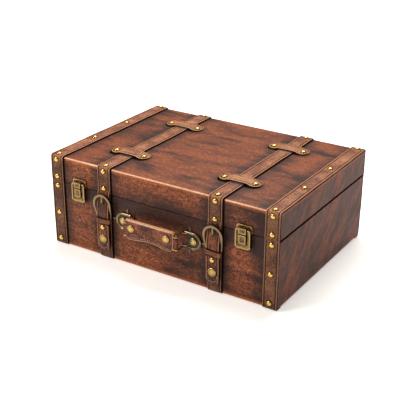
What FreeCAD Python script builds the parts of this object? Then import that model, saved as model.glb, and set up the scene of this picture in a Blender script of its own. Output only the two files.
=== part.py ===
import FreeCAD, Part
import math
import os
from FreeCAD import Vector

# Covered wooden suitcase, millimetres.
# Origin: centre of the footprint on the floor. +X to the right, front at -Y, +Z up.
# Along the front, "proud" is the distance out from the covering's front face.

# Case
case_width = 400.0
case_depth = 284.0
base_height = 106.6
lid_height = 41.2
seam_gap = 0.8
edge_round = 2.0
board = 8.0
panel = 6.0
rebate = 4.0
skin = 1.0
turn_in = 12.0
lining = 1.0
sheet = 1.5
sheet_gap = 1.0

# Straps and edge bands
strap_gap = 4.5
strap_width = 23.0
band_width = 23.0
strap_thickness = 2.0
foot_length = 12.0
foot_thickness = 1.2

# Dome studs
stud_radius = 4.3
stud_height = 2.6
stud_inset = 7.2
lid_stud_rise = 8.3
base_stud_drop = 6.3
base_stud_rise = 9.3
band_stud_front = 50.0
band_stud_back = 35.5

# Keepers that bridge the straps on the top
keeper_y = 76.0
keeper_spacing = 51.5
keeper_lobe = 9.0
keeper_waist = 9.0
keeper_neck_inset = 6.5
keeper_shoulder = 10.4
keeper_thickness = 2.0
keeper_side_gap = 0.6
keeper_slope = 6.0

# Buckled tails
tail_inset = 0.75
tail_thickness = 3.0
tail_root_thickness = 2.0
tail_tip = 18.2
tail_tip_round = 4.0
tail_stand = 3.5
tail_hinge_rise = 2.5
tail_ramp_top = 4.5
tail_ramp_height = 20.0
running_gap = 0.3
bar_drop = 35.0
bar_radius = 0.9
bar_fit = 0.05
chape_thickness = 0.6
chape_inset = 1.25
chape_reach = 22.0
chape_split = 4.2
prong_width = 2.6
prong_thickness = 1.4
prong_play = 0.4
prong_stand = 0.6
prong_tip_inset = 1.6
buckle_width = 35.0
buckle_rim = 5.2
buckle_side = 4.6
buckle_leg = 3.0
buckle_leg_gap = 0.3
buckle_leg_bow = 0.8
buckle_top_rise = 1.8
buckle_thickness = 3.4
arch_stand = 1.6
loop_height = 8.5
loop_drop = 3.0
loop_thickness = 1.2
rivet_drop = 18.2
rivet_shank = 1.5
rivet_foot = 3.0
cap_drop = 19.2
cap_radius = 6.75
cap_height = 1.6
cap_shank = 2.0
socket_radius = 4.5
socket_depth = 1.6
socket_mouth = 2.5
snap_post = 1.8
snap_flange = 0.6

# Latches
latch_shift = 2.0
catch_width = 25.0
catch_rise = 12.0
plate_thickness = 1.2
bead_width = 1.8
bead_height = 1.0
corner_round = 4.0
lever_inset = 0.5
lever_top_rise = 7.5
lever_pin_drop = 20.0
lever_foot = 2.5
lever_stand = 1.6
lever_thickness = 4.0
lever_pin_radius = 1.0
lever_pin_proud = 4.8
pin_fit = 0.05
ear_thickness = 1.0
ear_radius = 2.0
ear_gap = 0.35
ear_corner = 2.0
window_width = 13.8
window_sill = 4.5
hook_side_gap = 1.0
hook_height = 8.4
hook_proud = 8.4
boss_side_gap = 1.4
boss_proud = 7.9
boss_sill_gap = 1.2
boss_top_gap = 1.4
block_border = 1.5
block_recess = 0.5
nail_inset = 4.4
nail_radius = 1.7
nail_height = 0.8

# Handle
handle_drop = 35.8
ring_gap = 3.5
ring_proud = 2.9
ring_reach = 18.5
ring_height = 24.0
ring_wire = 1.3
loop_fit = 0.1
handle_leather = 1.2
handle_loop_gap = 1.2
mount_gap = 3.0
mount_height = 27.0
mount_length = 27.5
mount_wall = 0.7
mount_bead = 0.9
mount_bead_width = 1.3
mount_nail_offset = 4.6
mount_ear_inset = 7.0
mount_ear_neck = 3.2
mount_ear_radius = 2.6
mount_ear_thickness = 1.2
mount_nail_radius = 2.1
mount_nail_height = 1.0
chape_tail = 24.0
head_radius = 5.8
head_height = 1.8
grip_length = 84.0
grip_roll = 5.2
grip_roll_rise = 13.0
grip_bottom_drop = 14.2
grip_hollow = 4.0
grip_edge = 4.6
grip_corner = 7.0
grip_end_round = 3.0
grip_lean = 1.3
grip_rivet_x = 31.0
grip_rivet_rise = 5.2
open_pivot_gap = 0.3

# Back hinges
hinge_width = 34.0
hinge_leaf_height = 15.0
hinge_leaf = 1.2
hinge_barrel = 2.4
hinge_pin = 1.2
hinge_gap = 0.4
hinge_nail_inset = 6.0

# Levels and faces that follow from the sizes above
base_rim = sheet + base_height
lid_rim = base_rim + seam_gap
lid_top = lid_rim + lid_height
seam_z = base_rim + seam_gap / 2
strap_top = lid_top + strap_thickness
half_width = case_width / 2
half_depth = case_depth / 2
ring_x = grip_length / 2 + ring_gap
mount_inner_x = ring_x + mount_gap
mount_outer_x = mount_inner_x + mount_length
strap_x = mount_outer_x + strap_gap + buckle_width / 2
band_x = half_width - band_width / 2
latch_x = (strap_x + band_x) / 2 + latch_shift
hinge_x = (strap_x + band_x) / 2
tail_width = strap_width - 2 * tail_inset
chape_width = tail_width - 2 * chape_inset
lever_width = catch_width - 2 * lever_inset
overlap = 1.0
SIDES = ((-1, "left"), (1, "right"))
X_AXIS = Vector(1, 0, 0)
Y_AXIS = Vector(0, 1, 0)
Z_AXIS = Vector(0, 0, 1)

parts = {}


def add(name, *solids):
    parts.setdefault(name, []).extend(solids)


def front(proud):
    return -half_depth - proud


def block(x0, x1, y0, y1, z0, z1):
    low = Vector(min(x0, x1), min(y0, y1), min(z0, z1))
    return Part.makeBox(abs(x1 - x0), abs(y1 - y0), abs(z1 - z0), low)


def front_block(x0, x1, proud0, proud1, z0, z1):
    return block(x0, x1, front(proud0), front(proud1), z0, z1)


def cylinder(radius, start, end):
    run = end - start
    return Part.makeCylinder(radius, run.Length, start, run)


def pierce(x, z, radius, proud0, proud1):
    return cylinder(radius, Vector(x, front(proud0), z), Vector(x, front(proud1), z))


def polygon(points):
    return Part.Face(Part.makePolygon(points + points[:1]))


def side_prism(points, x0, x1):
    """Solid of a side outline, given as (proud, z) points, from x0 to x1."""
    face = polygon([Vector(x0, front(proud), z) for proud, z in points])
    return face.extrude(X_AXIS * (x1 - x0))


def fillet_where(solid, radius, chosen):
    edges = [edge for edge in solid.Edges if chosen(edge)]
    return solid.makeFillet(radius, edges)


def runs_along(edge, axis):
    return math.isclose(abs(edge.tangentAt(edge.FirstParameter).dot(axis)), 1)


def plate_outline(x, z0, z1, width, radius):
    """Rounded rectangle seen from the front, as a face in the plane y = 0."""
    solid = block(x - width / 2, x + width / 2, 0, overlap, z0, z1)
    solid = fillet_where(solid, radius, lambda edge: runs_along(edge, Y_AXIS))
    return next(face for face in solid.Faces if face.BoundBox.YMax < overlap / 2)


def raise_face(face, proud0, proud1):
    moved = face.translated(Vector(0, front(proud0), 0))
    return moved.extrude(Y_AXIS * (proud0 - proud1))


def dome(radius, height, at, direction):
    """Domed head that sits on the point at and rises along direction."""
    rim = Vector(radius, 0, 0)
    crown = Vector(0, 0, height)
    sphere = (radius ** 2 + height ** 2) / (2 * height)
    half_angle = math.asin(min(1.0, radius / sphere)) / 2
    middle = Vector(sphere * math.sin(half_angle), 0, height - sphere * (1 - math.cos(half_angle)))
    curve = Part.Arc(rim, middle, crown).toShape()
    lines = [Part.makeLine(crown, Vector(0, 0, 0)), Part.makeLine(Vector(0, 0, 0), rim)]
    solid = Part.Face(Part.Wire([curve] + lines)).revolve(Vector(0, 0, 0), Z_AXIS, 360)
    turn = FreeCAD.Rotation(Z_AXIS, direction)
    solid.Placement = FreeCAD.Placement(at, turn)
    return solid


def flat_head(radius, height, at, direction):
    """Flat cap with a chamfered rim."""
    solid = Part.makeCylinder(radius, height)
    top = [edge for edge in solid.Edges if edge.BoundBox.ZMin > height / 2]
    solid = solid.makeChamfer(height / 2, top)
    solid.Placement = FreeCAD.Placement(at, FreeCAD.Rotation(Z_AXIS, direction))
    return solid


def shell_tray(height):
    """Boards, lining and covering of one half of the case, closed below and open above."""
    out_x = half_width - skin
    out_y = half_depth - skin
    in_x = out_x - board
    in_y = out_y - board
    wall_low = skin + panel
    wall_high = height - skin
    pieces = {}

    pieces["panel"] = block(-out_x, out_x, -out_y, out_y, skin, wall_low)
    for side, name in ((-1, "front"), (1, "back")):
        wall = block(-out_x, out_x, side * in_y, side * out_y, wall_low, wall_high)
        for end in (-1, 1):
            notch = block(end * in_x, end * (out_x + overlap), side * (in_y - overlap),
                          side * (in_y + rebate), wall_low - overlap, wall_high + overlap)
            wall = wall.cut(notch)
        pieces[name] = wall
    for side, name in SIDES:
        reach = in_y + rebate
        pieces[name] = block(side * in_x, side * out_x, -reach, reach, wall_low, wall_high)

    lining_top = height - turn_in
    hollow = block(-in_x + lining, in_x - lining, -in_y + lining, in_y - lining,
                   wall_low + lining, lining_top + overlap)
    pieces["lining"] = block(-in_x, in_x, -in_y, in_y, wall_low, lining_top).cut(hollow)

    outer = block(-half_width, half_width, -half_depth, half_depth, 0, height)
    outer = fillet_where(outer, edge_round, lambda edge: edge.BoundBox.ZMin < height / 2)
    mouth_x = in_x - skin
    mouth_y = in_y - skin
    mouth = block(-mouth_x, mouth_x, -mouth_y, mouth_y, height - turn_in, height + overlap)
    core = block(-out_x, out_x, -out_y, out_y, skin, wall_high)
    turned = block(-in_x, in_x, -in_y, in_y, height - turn_in, wall_high).cut(mouth)
    pieces["covering"] = outer.cut(core).cut(mouth).fuse(turned).removeSplitter()
    return pieces


def make_case():
    names = ("front", "back", "left", "right")
    base = shell_tray(base_height)
    lid = shell_tray(lid_height)
    for piece, solid in base.items():
        solid.translate(Vector(0, 0, sheet))
        label = piece + "_board" if piece in names else piece
        add("base_" + label.replace("panel", "bottom_panel"), solid)
    for piece, solid in lid.items():
        flipped = solid.mirror(Vector(0, 0, 0), Z_AXIS)
        flipped.translate(Vector(0, 0, lid_top))
        label = piece + "_board" if piece in names else piece
        add("lid_" + label.replace("panel", "top_panel"), flipped)
    margin = foot_length + sheet_gap
    add("bottom_sheet", block(-half_width + margin, half_width - margin,
                              -half_depth + margin, half_depth - margin, 0, sheet))


def lid_strap(x, width):
    """Strap over the lid: front leg, top run and back leg in one strip."""
    x0 = x - width / 2
    x1 = x + width / 2
    reach = half_depth + strap_thickness
    outer = block(x0, x1, -reach, reach, lid_rim, strap_top)
    inner = block(x0 - overlap, x1 + overlap, -half_depth, half_depth, lid_rim - overlap, lid_top)

    def upper(level):
        return lambda edge: runs_along(edge, X_AXIS) and edge.BoundBox.ZMin > level - overlap / 2

    outer = fillet_where(outer, edge_round + strap_thickness, upper(strap_top))
    inner = fillet_where(inner, edge_round, upper(lid_top))
    return outer.cut(inner)


def base_strap(x, width):
    """Two strips, front and back, each with a thinned foot turned under the case."""
    x0 = x - width / 2
    x1 = x + width / 2
    foot_z = sheet - foot_thickness
    reach = half_depth + strap_thickness
    outer = block(x0, x1, -reach, reach, foot_z, base_rim)
    inner = block(x0 - overlap, x1 + overlap, -half_depth, half_depth, sheet, base_rim + overlap)

    def lower(level):
        return lambda edge: runs_along(edge, X_AXIS) and edge.BoundBox.ZMax < level + overlap / 2

    outer = fillet_where(outer, edge_round + foot_thickness, lower(foot_z))
    inner = fillet_where(inner, edge_round, lower(sheet))
    inside = half_depth - foot_length
    middle = block(x0 - overlap, x1 + overlap, -inside, inside, -overlap, base_rim + overlap)
    return outer.cut(inner).cut(middle).Solids


def make_straps():
    for side, name in SIDES:
        add("lid_strap_" + name, lid_strap(side * strap_x, strap_width))
        add("lid_edge_band_" + name, lid_strap(side * band_x, band_width))
        add("base_strap_" + name, *base_strap(side * strap_x, strap_width))
        add("base_edge_band_" + name, *base_strap(side * band_x, band_width))


def wall_stud(x, z, facing):
    at = Vector(x, facing * (half_depth + strap_thickness), z)
    return dome(stud_radius, stud_height, at, Y_AXIS * facing)


def top_stud(x, y, level):
    return dome(stud_radius, stud_height, Vector(x, y, level), Z_AXIS)


def make_studs():
    lid_levels = (strap_top - stud_inset, lid_rim + lid_stud_rise)
    base_high = base_rim - base_stud_drop
    base_low = sheet + base_stud_rise
    fold = half_depth + strap_thickness - stud_inset
    for side, _ in SIDES:
        for facing in (-1, 1):
            for z in lid_levels:
                add("lid_studs", wall_stud(side * strap_x, z, facing))
                add("lid_studs", wall_stud(side * band_x, z, facing))
            for z in (base_high, (base_high + base_low) / 2, base_low):
                add("base_studs", wall_stud(side * band_x, z, facing))
        for z in (base_high, base_low):
            add("base_studs", wall_stud(side * strap_x, z, 1))
        for y in (-fold, -band_stud_front, band_stud_back, fold):
            add("lid_studs", top_stud(side * band_x, y, strap_top))
        for step in (-1, 1):
            add("lid_studs", top_stud(side * strap_x, step * fold, strap_top))
            for end in (-1, 1):
                x = side * strap_x + end * keeper_spacing / 2
                add("lid_studs", top_stud(x, step * keeper_y, lid_top + keeper_thickness))


def top_keeper(x, y):
    """Waisted leather tab that bridges a strap, lying on the lid at both ends."""
    end = keeper_spacing / 2
    neck = end - keeper_neck_inset
    points = {
        "right_top": Vector(neck, keeper_shoulder, 0), "right": Vector(end + keeper_lobe, 0, 0),
        "right_low": Vector(neck, -keeper_shoulder, 0), "waist_low": Vector(0, -keeper_waist, 0),
        "left_low": Vector(-neck, -keeper_shoulder, 0), "left": Vector(-end - keeper_lobe, 0, 0),
        "left_top": Vector(-neck, keeper_shoulder, 0), "waist_top": Vector(0, keeper_waist, 0),
    }
    order = ("right_top", "right", "right_low", "waist_low", "left_low", "left", "left_top", "waist_top")
    corners = [points[name] for name in order] + [points["right_top"]]
    arcs = [Part.Arc(*corners[i:i + 3]).toShape() for i in (0, 2, 4, 6)]
    plan = Part.Face(Part.Wire(arcs))
    plan.translate(Vector(x, y, lid_top - overlap))
    plan = plan.extrude(Z_AXIS * (strap_thickness + keeper_thickness + 2 * overlap))

    low = lid_top
    high = lid_top + strap_thickness
    flat = strap_width / 2 + keeper_side_gap
    foot = flat + keeper_slope
    tip = end + keeper_lobe + overlap
    under = [(-tip, low), (-foot, low), (-flat, high), (flat, high), (foot, low), (tip, low)]
    over = [(dx, z + keeper_thickness) for dx, z in reversed(under)]
    reach = keeper_lobe + keeper_shoulder
    face = polygon([Vector(x + dx, y - reach, z) for dx, z in under + over])
    return face.extrude(Y_AXIS * (2 * reach)).common(plan)


def make_top_keepers():
    for side, name in SIDES:
        for step in (-1, 1):
            add("top_keepers_" + name, top_keeper(side * strap_x, step * keeper_y))


# Buckled tail: levels and stand-offs shared by its pieces
tail_hinge_z = lid_rim + tail_hinge_rise
root_back = strap_thickness + running_gap
tail_hinge_proud = root_back + tail_root_thickness / 2
tail_back = strap_thickness + tail_stand
tail_front = tail_back + tail_thickness
ramp_top_z = seam_z - tail_ramp_top
ramp_low_z = ramp_top_z - tail_ramp_height
bar_z = seam_z - bar_drop
bar_loop = bar_radius + bar_fit + chape_thickness
bar_proud = tail_back - bar_loop
rivet_z = bar_z - rivet_drop
cap_z = rivet_z - cap_drop
tail_end_z = cap_z - tail_tip
loop_top_z = bar_z - loop_drop
arc_top_z = lid_rim + buckle_top_rise
arch_spring_z = arc_top_z - buckle_width / 2
arc_back = root_back + tail_root_thickness + arch_stand
hole_z = (ramp_top_z + ramp_low_z) / 2


def tail_strap(x):
    """Tail that hangs from the lid strap, stands off the base and ends in a rounded tip."""
    root_front = root_back + tail_root_thickness
    back = [(root_back, tail_hinge_z), (root_back, ramp_top_z), (tail_back, ramp_low_z), (tail_back, 0)]
    face = [(tail_front, 0), (tail_front, ramp_low_z), (root_front, ramp_top_z), (root_front, tail_hinge_z)]
    x0 = x - tail_width / 2
    x1 = x + tail_width / 2
    strap = side_prism(back + face, x0, x1)
    top = Vector(x0, front(tail_hinge_proud), tail_hinge_z)
    strap = strap.fuse(cylinder(tail_root_thickness / 2, top, top + X_AXIS * tail_width))

    shoulder = tail_end_z + tail_tip_round
    tip = Part.Arc(Vector(x0, 0, shoulder), Vector(x, 0, tail_end_z), Vector(x1, 0, shoulder)).toShape()
    top_z = tail_hinge_z + 2 * tail_root_thickness
    corners = [Vector(x1, 0, shoulder), Vector(x1, 0, top_z), Vector(x0, 0, top_z), Vector(x0, 0, shoulder)]
    sides = Part.makePolygon(corners)
    shape = Part.Face(Part.Wire([tip] + sides.Edges))
    strap = strap.common(raise_face(shape, 0, tail_front + overlap)).removeSplitter()

    slot = prong_width + 2 * prong_play
    strap = strap.cut(front_block(x - slot / 2, x + slot / 2, 0, tail_front + overlap,
                                  hole_z - slot, hole_z + slot))
    strap = strap.cut(pierce(x, rivet_z, rivet_shank, 0, tail_front + overlap))
    return strap.cut(pierce(x, cap_z, cap_shank, 0, tail_front + overlap))


def tail_chape(x):
    """Thin leather fold behind the tail that holds the buckle's bar, split for the prong."""
    start = Vector(x - chape_width / 2, front(bar_proud), bar_z)
    fold = cylinder(bar_loop, start, start + X_AXIS * chape_width)
    leaf = front_block(x - chape_width / 2, x + chape_width / 2, tail_back - chape_thickness, tail_back,
                       bar_z - chape_reach, bar_z)
    fold = fold.fuse(leaf)
    fold = fold.cut(cylinder(bar_radius + bar_fit, start - X_AXIS, start + X_AXIS * (chape_width + overlap)))
    fold = fold.cut(front_block(x - chape_split / 2, x + chape_split / 2, 0, tail_back + overlap,
                                bar_z - 2 * bar_loop, bar_z + 2 * bar_loop))
    return fold.cut(pierce(x, rivet_z, rivet_shank, 0, tail_front)).removeSplitter()


def buckle_outline(x):
    """Horseshoe seen from the front: a wide arch with legs that draw in to the bar."""
    radius = buckle_width / 2
    spread = tail_width / 2 + buckle_leg_gap + buckle_leg
    foot_z = bar_z - bar_radius - overlap

    def wire(top_z, top_half, foot_half, low_z):
        left = Vector(x - top_half, 0, arch_spring_z)
        right = Vector(x + top_half, 0, arch_spring_z)
        arch = Part.Arc(left, Vector(x, 0, top_z), right)
        low_left = Vector(x - foot_half, 0, low_z)
        low_right = Vector(x + foot_half, 0, low_z)
        mid_z = (arch_spring_z + low_z) / 2
        mid_half = (top_half + foot_half) / 2 + buckle_leg_bow
        left_leg = Part.Arc(low_left, Vector(x - mid_half, 0, mid_z), left)
        right_leg = Part.Arc(right, Vector(x + mid_half, 0, mid_z), low_right)
        foot = Part.makeLine(low_right, low_left)
        return Part.Wire([left_leg.toShape(), arch.toShape(), right_leg.toShape(), foot])

    outer = Part.Face(wire(arc_top_z, radius, spread, foot_z))
    inner = Part.Face(wire(arc_top_z - buckle_rim, radius - buckle_side, spread - buckle_leg,
                           foot_z - overlap))
    return outer.cut(inner)


def buckle_frame(x):
    slab = raise_face(buckle_outline(x), 0, arc_back + buckle_thickness + overlap)
    low_back = bar_proud - buckle_thickness / 2
    side = [(low_back, 0), (low_back, bar_z + buckle_leg), (arc_back, arch_spring_z),
            (arc_back, arc_top_z + overlap)]
    side += [(proud + buckle_thickness, z) for proud, z in reversed(side)]
    frame = slab.common(side_prism(side, x - buckle_width, x + buckle_width))
    half_bar = tail_width / 2 + buckle_leg_gap + buckle_leg / 2
    start = Vector(x - half_bar, front(bar_proud), bar_z)
    frame = frame.fuse(cylinder(bar_radius, start, start + X_AXIS * (2 * half_bar)))
    notch = prong_width + 2 * prong_play
    seat = arc_back + buckle_thickness - prong_thickness
    frame = frame.cut(front_block(x - notch / 2, x + notch / 2, seat, seat + 2 * buckle_thickness,
                                  arch_spring_z, arc_top_z + overlap))
    return frame.removeSplitter()


def buckle_prong(x):
    """Flat prong: eye on the bar, up behind the tail, out through its hole, tip on the arch."""
    half = prong_width / 2
    low = strap_thickness + prong_stand
    seat = arc_back + buckle_thickness - prong_thickness
    cross_low = hole_z - prong_width
    cross_high = hole_z + prong_width / 2
    tip_z = arc_top_z - prong_tip_inset
    back = [(low, bar_z), (low, cross_low), (seat, cross_high), (seat, tip_z)]
    face = [(proud + prong_thickness, z) for proud, z in reversed(back)]
    prong = side_prism(back + face, x - half, x + half)
    start = Vector(x - half, front(bar_proud), bar_z)
    prong = prong.fuse(cylinder(bar_loop, start, start + X_AXIS * prong_width))
    bore = cylinder(bar_radius + bar_fit, start - X_AXIS, start + X_AXIS * (prong_width + overlap))
    return prong.cut(bore).removeSplitter()


def tail_keeper(x):
    """Leather loop round the tail and its chape, just below the buckle's bar."""
    half = tail_width / 2
    back = tail_back - chape_thickness
    low = loop_top_z - loop_height
    outer = front_block(x - half - loop_thickness, x + half + loop_thickness, back - loop_thickness,
                        tail_front + loop_thickness, low, loop_top_z)
    outer = fillet_where(outer, loop_thickness, lambda edge: runs_along(edge, Z_AXIS))
    inner = front_block(x - half, x + half, back, tail_front, low - overlap, loop_top_z + overlap)
    return outer.cut(inner)


def tail_rivet(x):
    outward = Y_AXIS * -1
    head = dome(stud_radius, stud_height, Vector(x, front(tail_front), rivet_z), outward)
    back = tail_back - chape_thickness
    shank = pierce(x, rivet_z, rivet_shank, back - chape_thickness, tail_front + chape_thickness)
    foot = pierce(x, rivet_z, rivet_foot, back - chape_thickness, back)
    return head.fuse(shank).fuse(foot).removeSplitter()


def snap_cap(x):
    outward = Y_AXIS * -1
    head = flat_head(cap_radius, cap_height, Vector(x, front(tail_front), cap_z), outward)
    shank = pierce(x, cap_z, cap_shank, tail_back - chape_thickness, tail_front + cap_height / 2)
    socket = pierce(x, cap_z, socket_radius, tail_back - socket_depth, tail_back)
    mouth = pierce(x, cap_z, socket_mouth, tail_back - socket_depth - overlap, tail_back - chape_thickness)
    return head.fuse(socket.cut(mouth)).fuse(shank).removeSplitter()


def snap_stud(x):
    flange = pierce(x, cap_z, socket_radius, strap_thickness, strap_thickness + snap_flange)
    post_end = tail_back - socket_depth - running_gap
    return flange.fuse(pierce(x, cap_z, snap_post, strap_thickness, post_end)).removeSplitter()


def make_tails():
    for side, name in SIDES:
        x = side * strap_x
        add("tail_strap_" + name, tail_strap(x))
        add("tail_chape_" + name, tail_chape(x))
        add("buckle_frame_" + name, buckle_frame(x))
        add("buckle_prong_" + name, buckle_prong(x))
        add("tail_keeper_" + name, tail_keeper(x))
        add("tail_rivet_" + name, tail_rivet(x))
        add("snap_cap_" + name, snap_cap(x))
        add("snap_studs", snap_stud(x))


# Latch levels
lever_pin_z = seam_z - lever_pin_drop
lever_back = plate_thickness + lever_stand
lever_front = lever_back + lever_thickness
window_sill_z = lever_pin_z + window_sill


def framed_block(x, width, proud, z0, z1):
    """Raised block with a shallow field inside a border on its face."""
    solid = front_block(x - width / 2, x + width / 2, 0, proud, z0, z1)
    field = front_block(x - width / 2 + block_border, x + width / 2 - block_border,
                        proud - block_recess, proud + overlap, z0 + block_border, z1 - block_border)
    return solid.cut(field)


def latch_catch(x):
    """Lid half of a latch: plate with a beaded rim, and the nose that the lever closes round."""
    top_z = lid_rim + catch_rise
    face = plate_outline(x, lid_rim - 2 * corner_round, top_z, catch_width, corner_round)
    inside = plate_outline(x, lid_rim - 2 * corner_round, top_z - bead_width,
                           catch_width - 2 * bead_width, corner_round - bead_width / 2)
    plate = raise_face(face, 0, plate_thickness)
    bead = raise_face(face.cut(inside), 0, plate_thickness + bead_height)
    nose_width = window_width - 2 * hook_side_gap
    nose = framed_block(x, nose_width, hook_proud, lid_rim, lid_rim + hook_height)
    below = front_block(x - catch_width, x + catch_width, -overlap, hook_proud + overlap,
                        lid_rim - 3 * corner_round, lid_rim)
    return plate.fuse(bead).fuse(nose).cut(below).removeSplitter()


def latch_pin(x, extra=0.0):
    start = Vector(x - lever_width / 2, front(lever_pin_proud), lever_pin_z)
    return cylinder(lever_pin_radius + extra, start, start + X_AXIS * lever_width)


def latch_base_plate(x):
    """Base half of a latch: plate, two ears for the pin at its lower corners, and a boss in the lever's window."""
    half = lever_width / 2
    low = lever_pin_z - ear_radius
    plate = front_block(x - half, x + half, 0, plate_thickness, low, base_rim)
    boss_width = window_width - 2 * boss_side_gap
    boss = framed_block(x, boss_width, boss_proud, window_sill_z + boss_sill_gap, base_rim - boss_top_gap)
    body = plate.fuse(boss)
    for side in (-1, 1):
        inner = x + side * (half - ear_thickness)
        outer = x + side * half
        ear = front_block(inner, outer, 0, lever_pin_proud, low, lever_pin_z + ear_radius)
        tip = cylinder(ear_radius, Vector(inner, front(lever_pin_proud), lever_pin_z),
                       Vector(outer, front(lever_pin_proud), lever_pin_z))
        body = body.fuse(ear).fuse(tip)
    outline = plate_outline(x, lever_pin_z - lever_foot, base_rim + 2 * ear_corner, lever_width, ear_corner)
    body = body.common(raise_face(outline, 0, boss_proud + overlap))
    return body.cut(latch_pin(x)).removeSplitter()


def latch_lever(x):
    """Lever: rounded frame with a beaded rim, a window open at the top for the lid's nose, notches for the ears."""
    low = lever_pin_z - lever_foot
    top = seam_z + lever_top_rise
    face = plate_outline(x, low, top, lever_width, corner_round)
    inside = plate_outline(x, low + bead_width, top - bead_width, lever_width - 2 * bead_width,
                           corner_round - bead_width / 2)
    body = raise_face(face, lever_back, lever_front - bead_height)
    bead = raise_face(face.cut(inside), lever_back, lever_front)
    window = front_block(x - window_width / 2, x + window_width / 2, 0, lever_front + overlap,
                         window_sill_z, top + overlap)
    body = body.fuse(bead).cut(window)
    for side in (-1, 1):
        inner = x + side * (lever_width / 2 - ear_thickness - ear_gap)
        outer = x + side * (lever_width / 2 + overlap)
        body = body.cut(front_block(inner, outer, 0, lever_front + overlap, low - overlap,
                                    lever_pin_z + ear_radius + ear_gap))
    return body.cut(latch_pin(x, pin_fit)).removeSplitter()


def make_latches():
    outward = Y_AXIS * -1
    for side, name in SIDES:
        x = side * latch_x
        add("latch_catches", latch_catch(x))
        add("latch_base_plates", latch_base_plate(x))
        add("latch_lever_" + name, latch_lever(x))
        add("latch_pins", latch_pin(x))
        for end in (-1, 1):
            at = Vector(x + end * (catch_width / 2 - nail_inset), front(plate_thickness),
                        lid_rim + catch_rise - nail_inset)
            add("lid_nails", dome(nail_radius, nail_height, at, outward))


# Handle levels
handle_z = seam_z - handle_drop
ring_top_z = handle_z + ring_height / 2
ring_low_z = handle_z - ring_height / 2
front_bar = ring_proud + ring_reach
mount_round_x = mount_outer_x - mount_height / 2
mount_thickness = 2 * handle_leather + mount_wall + mount_bead
handle_loop_height = ring_height - 2 * ring_wire - 2 * handle_loop_gap
loop_low_z = handle_z - handle_loop_height / 2


def ring_bar(x, proud, extra=0.0):
    low = Vector(x, front(proud), ring_low_z - overlap)
    return cylinder(ring_wire + extra, low, low + Z_AXIS * (ring_height + 2 * overlap))


def handle_ring(side):
    """Rectangular wire ring standing out from the wall, its two long bars upright."""
    x = side * ring_x
    corners = [Vector(x, front(proud), z) for proud, z in (
        (ring_proud, ring_low_z), (front_bar, ring_low_z), (front_bar, ring_top_z), (ring_proud, ring_top_z))]
    solid = None
    for start, end in zip(corners, corners[1:] + corners[:1]):
        bar = cylinder(ring_wire, start, end).fuse(Part.makeSphere(ring_wire, start))
        solid = bar if solid is None else solid.fuse(bar)
    return solid.removeSplitter()


def bar_loop_tube(x, proud, clearance):
    low = Vector(x, front(proud), loop_low_z)
    high = low + Z_AXIS * handle_loop_height
    return cylinder(ring_wire + clearance + handle_leather, low, high)


def handle_chape(side):
    """Leather strip folded round the ring's rear bar, its ends clamped under the mount plate."""
    x = side * ring_x
    leaf = front_block(x, side * (mount_inner_x + chape_tail), 0, 2 * handle_leather,
                       loop_low_z, loop_low_z + handle_loop_height)
    fold = leaf.fuse(bar_loop_tube(x, ring_proud, loop_fit))
    fold = fold.cut(ring_bar(x, ring_proud, loop_fit))
    shank = pierce(side * mount_round_x, handle_z, rivet_shank, -overlap, mount_thickness)
    return fold.cut(shank).removeSplitter()


def mount_outline(side, inset):
    """D outline with a square inner end and a round outer end, seen from the front."""
    radius = mount_height / 2 - inset
    inner = side * mount_inner_x
    centre = side * mount_round_x
    low = Vector(centre, 0, handle_z - radius)
    high = Vector(centre, 0, handle_z + radius)
    end = Part.Arc(low, Vector(centre + side * radius, 0, handle_z), high).toShape()
    corners = [high, Vector(inner, 0, handle_z + radius), Vector(inner, 0, handle_z - radius), low]
    return Part.Face(Part.Wire([end] + Part.makePolygon(corners).Edges))


def mount_ears(side):
    """Centres of the three nail ears, and the point of the plate that each one grows from."""
    ear_x = side * (mount_inner_x + mount_ear_inset)
    edge = mount_height / 2
    for turn in (-1, 1):
        yield (Vector(ear_x, 0, handle_z + turn * (edge + mount_nail_offset)),
               Vector(ear_x, 0, handle_z + turn * (edge - mount_bead_width)))
    yield (Vector(side * (mount_outer_x + mount_nail_offset), 0, handle_z),
           Vector(side * (mount_outer_x - mount_bead_width), 0, handle_z))


def ear_neck(centre, root):
    """Short neck, narrower than the ear, from the plate's edge to the ear's centre."""
    half = mount_ear_neck / 2
    along_x = abs(centre.x - root.x) > abs(centre.z - root.z)
    side_x = 0 if along_x else half
    side_z = half if along_x else 0
    return block(min(centre.x, root.x) - side_x, max(centre.x, root.x) + side_x, front(mount_ear_thickness),
                 front(0), min(centre.z, root.z) - side_z, max(centre.z, root.z) + side_z)


def handle_plate(side):
    """Mount plate: D-shaped, two beads round its edge, pocketed behind for the chape."""
    plate = raise_face(mount_outline(side, 0), 0, mount_thickness - mount_bead)
    for ring in (0, 1):
        inset = ring * bead_width
        rim = mount_outline(side, inset).cut(mount_outline(side, inset + mount_bead_width))
        plate = plate.fuse(raise_face(rim, 0, mount_thickness - ring * mount_bead / 2))
    for centre, root in mount_ears(side):
        tab = pierce(centre.x, centre.z, mount_ear_radius, 0, mount_ear_thickness)
        plate = plate.fuse(tab).fuse(ear_neck(centre, root))
    pocket = front_block(side * (mount_inner_x - overlap), side * (mount_inner_x + chape_tail), -overlap,
                         2 * handle_leather, loop_low_z, loop_low_z + handle_loop_height)
    shank = pierce(side * mount_round_x, handle_z, rivet_shank, -overlap, mount_thickness + overlap)
    return plate.cut(pocket).cut(shank).removeSplitter()


def plate_rivet(side):
    x = side * mount_round_x
    seat = mount_thickness - mount_bead
    head = flat_head(head_radius, head_height, Vector(x, front(seat), handle_z), Y_AXIS * -1)
    return head.fuse(pierce(x, handle_z, rivet_shank, 0, seat + head_height / 2)).removeSplitter()


# Grip outline: a roll on top that narrows to a stitched flap
roll_z = handle_z + grip_roll_rise
grip_low_z = handle_z - grip_bottom_drop
grip_front = front_bar + grip_roll


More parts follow.
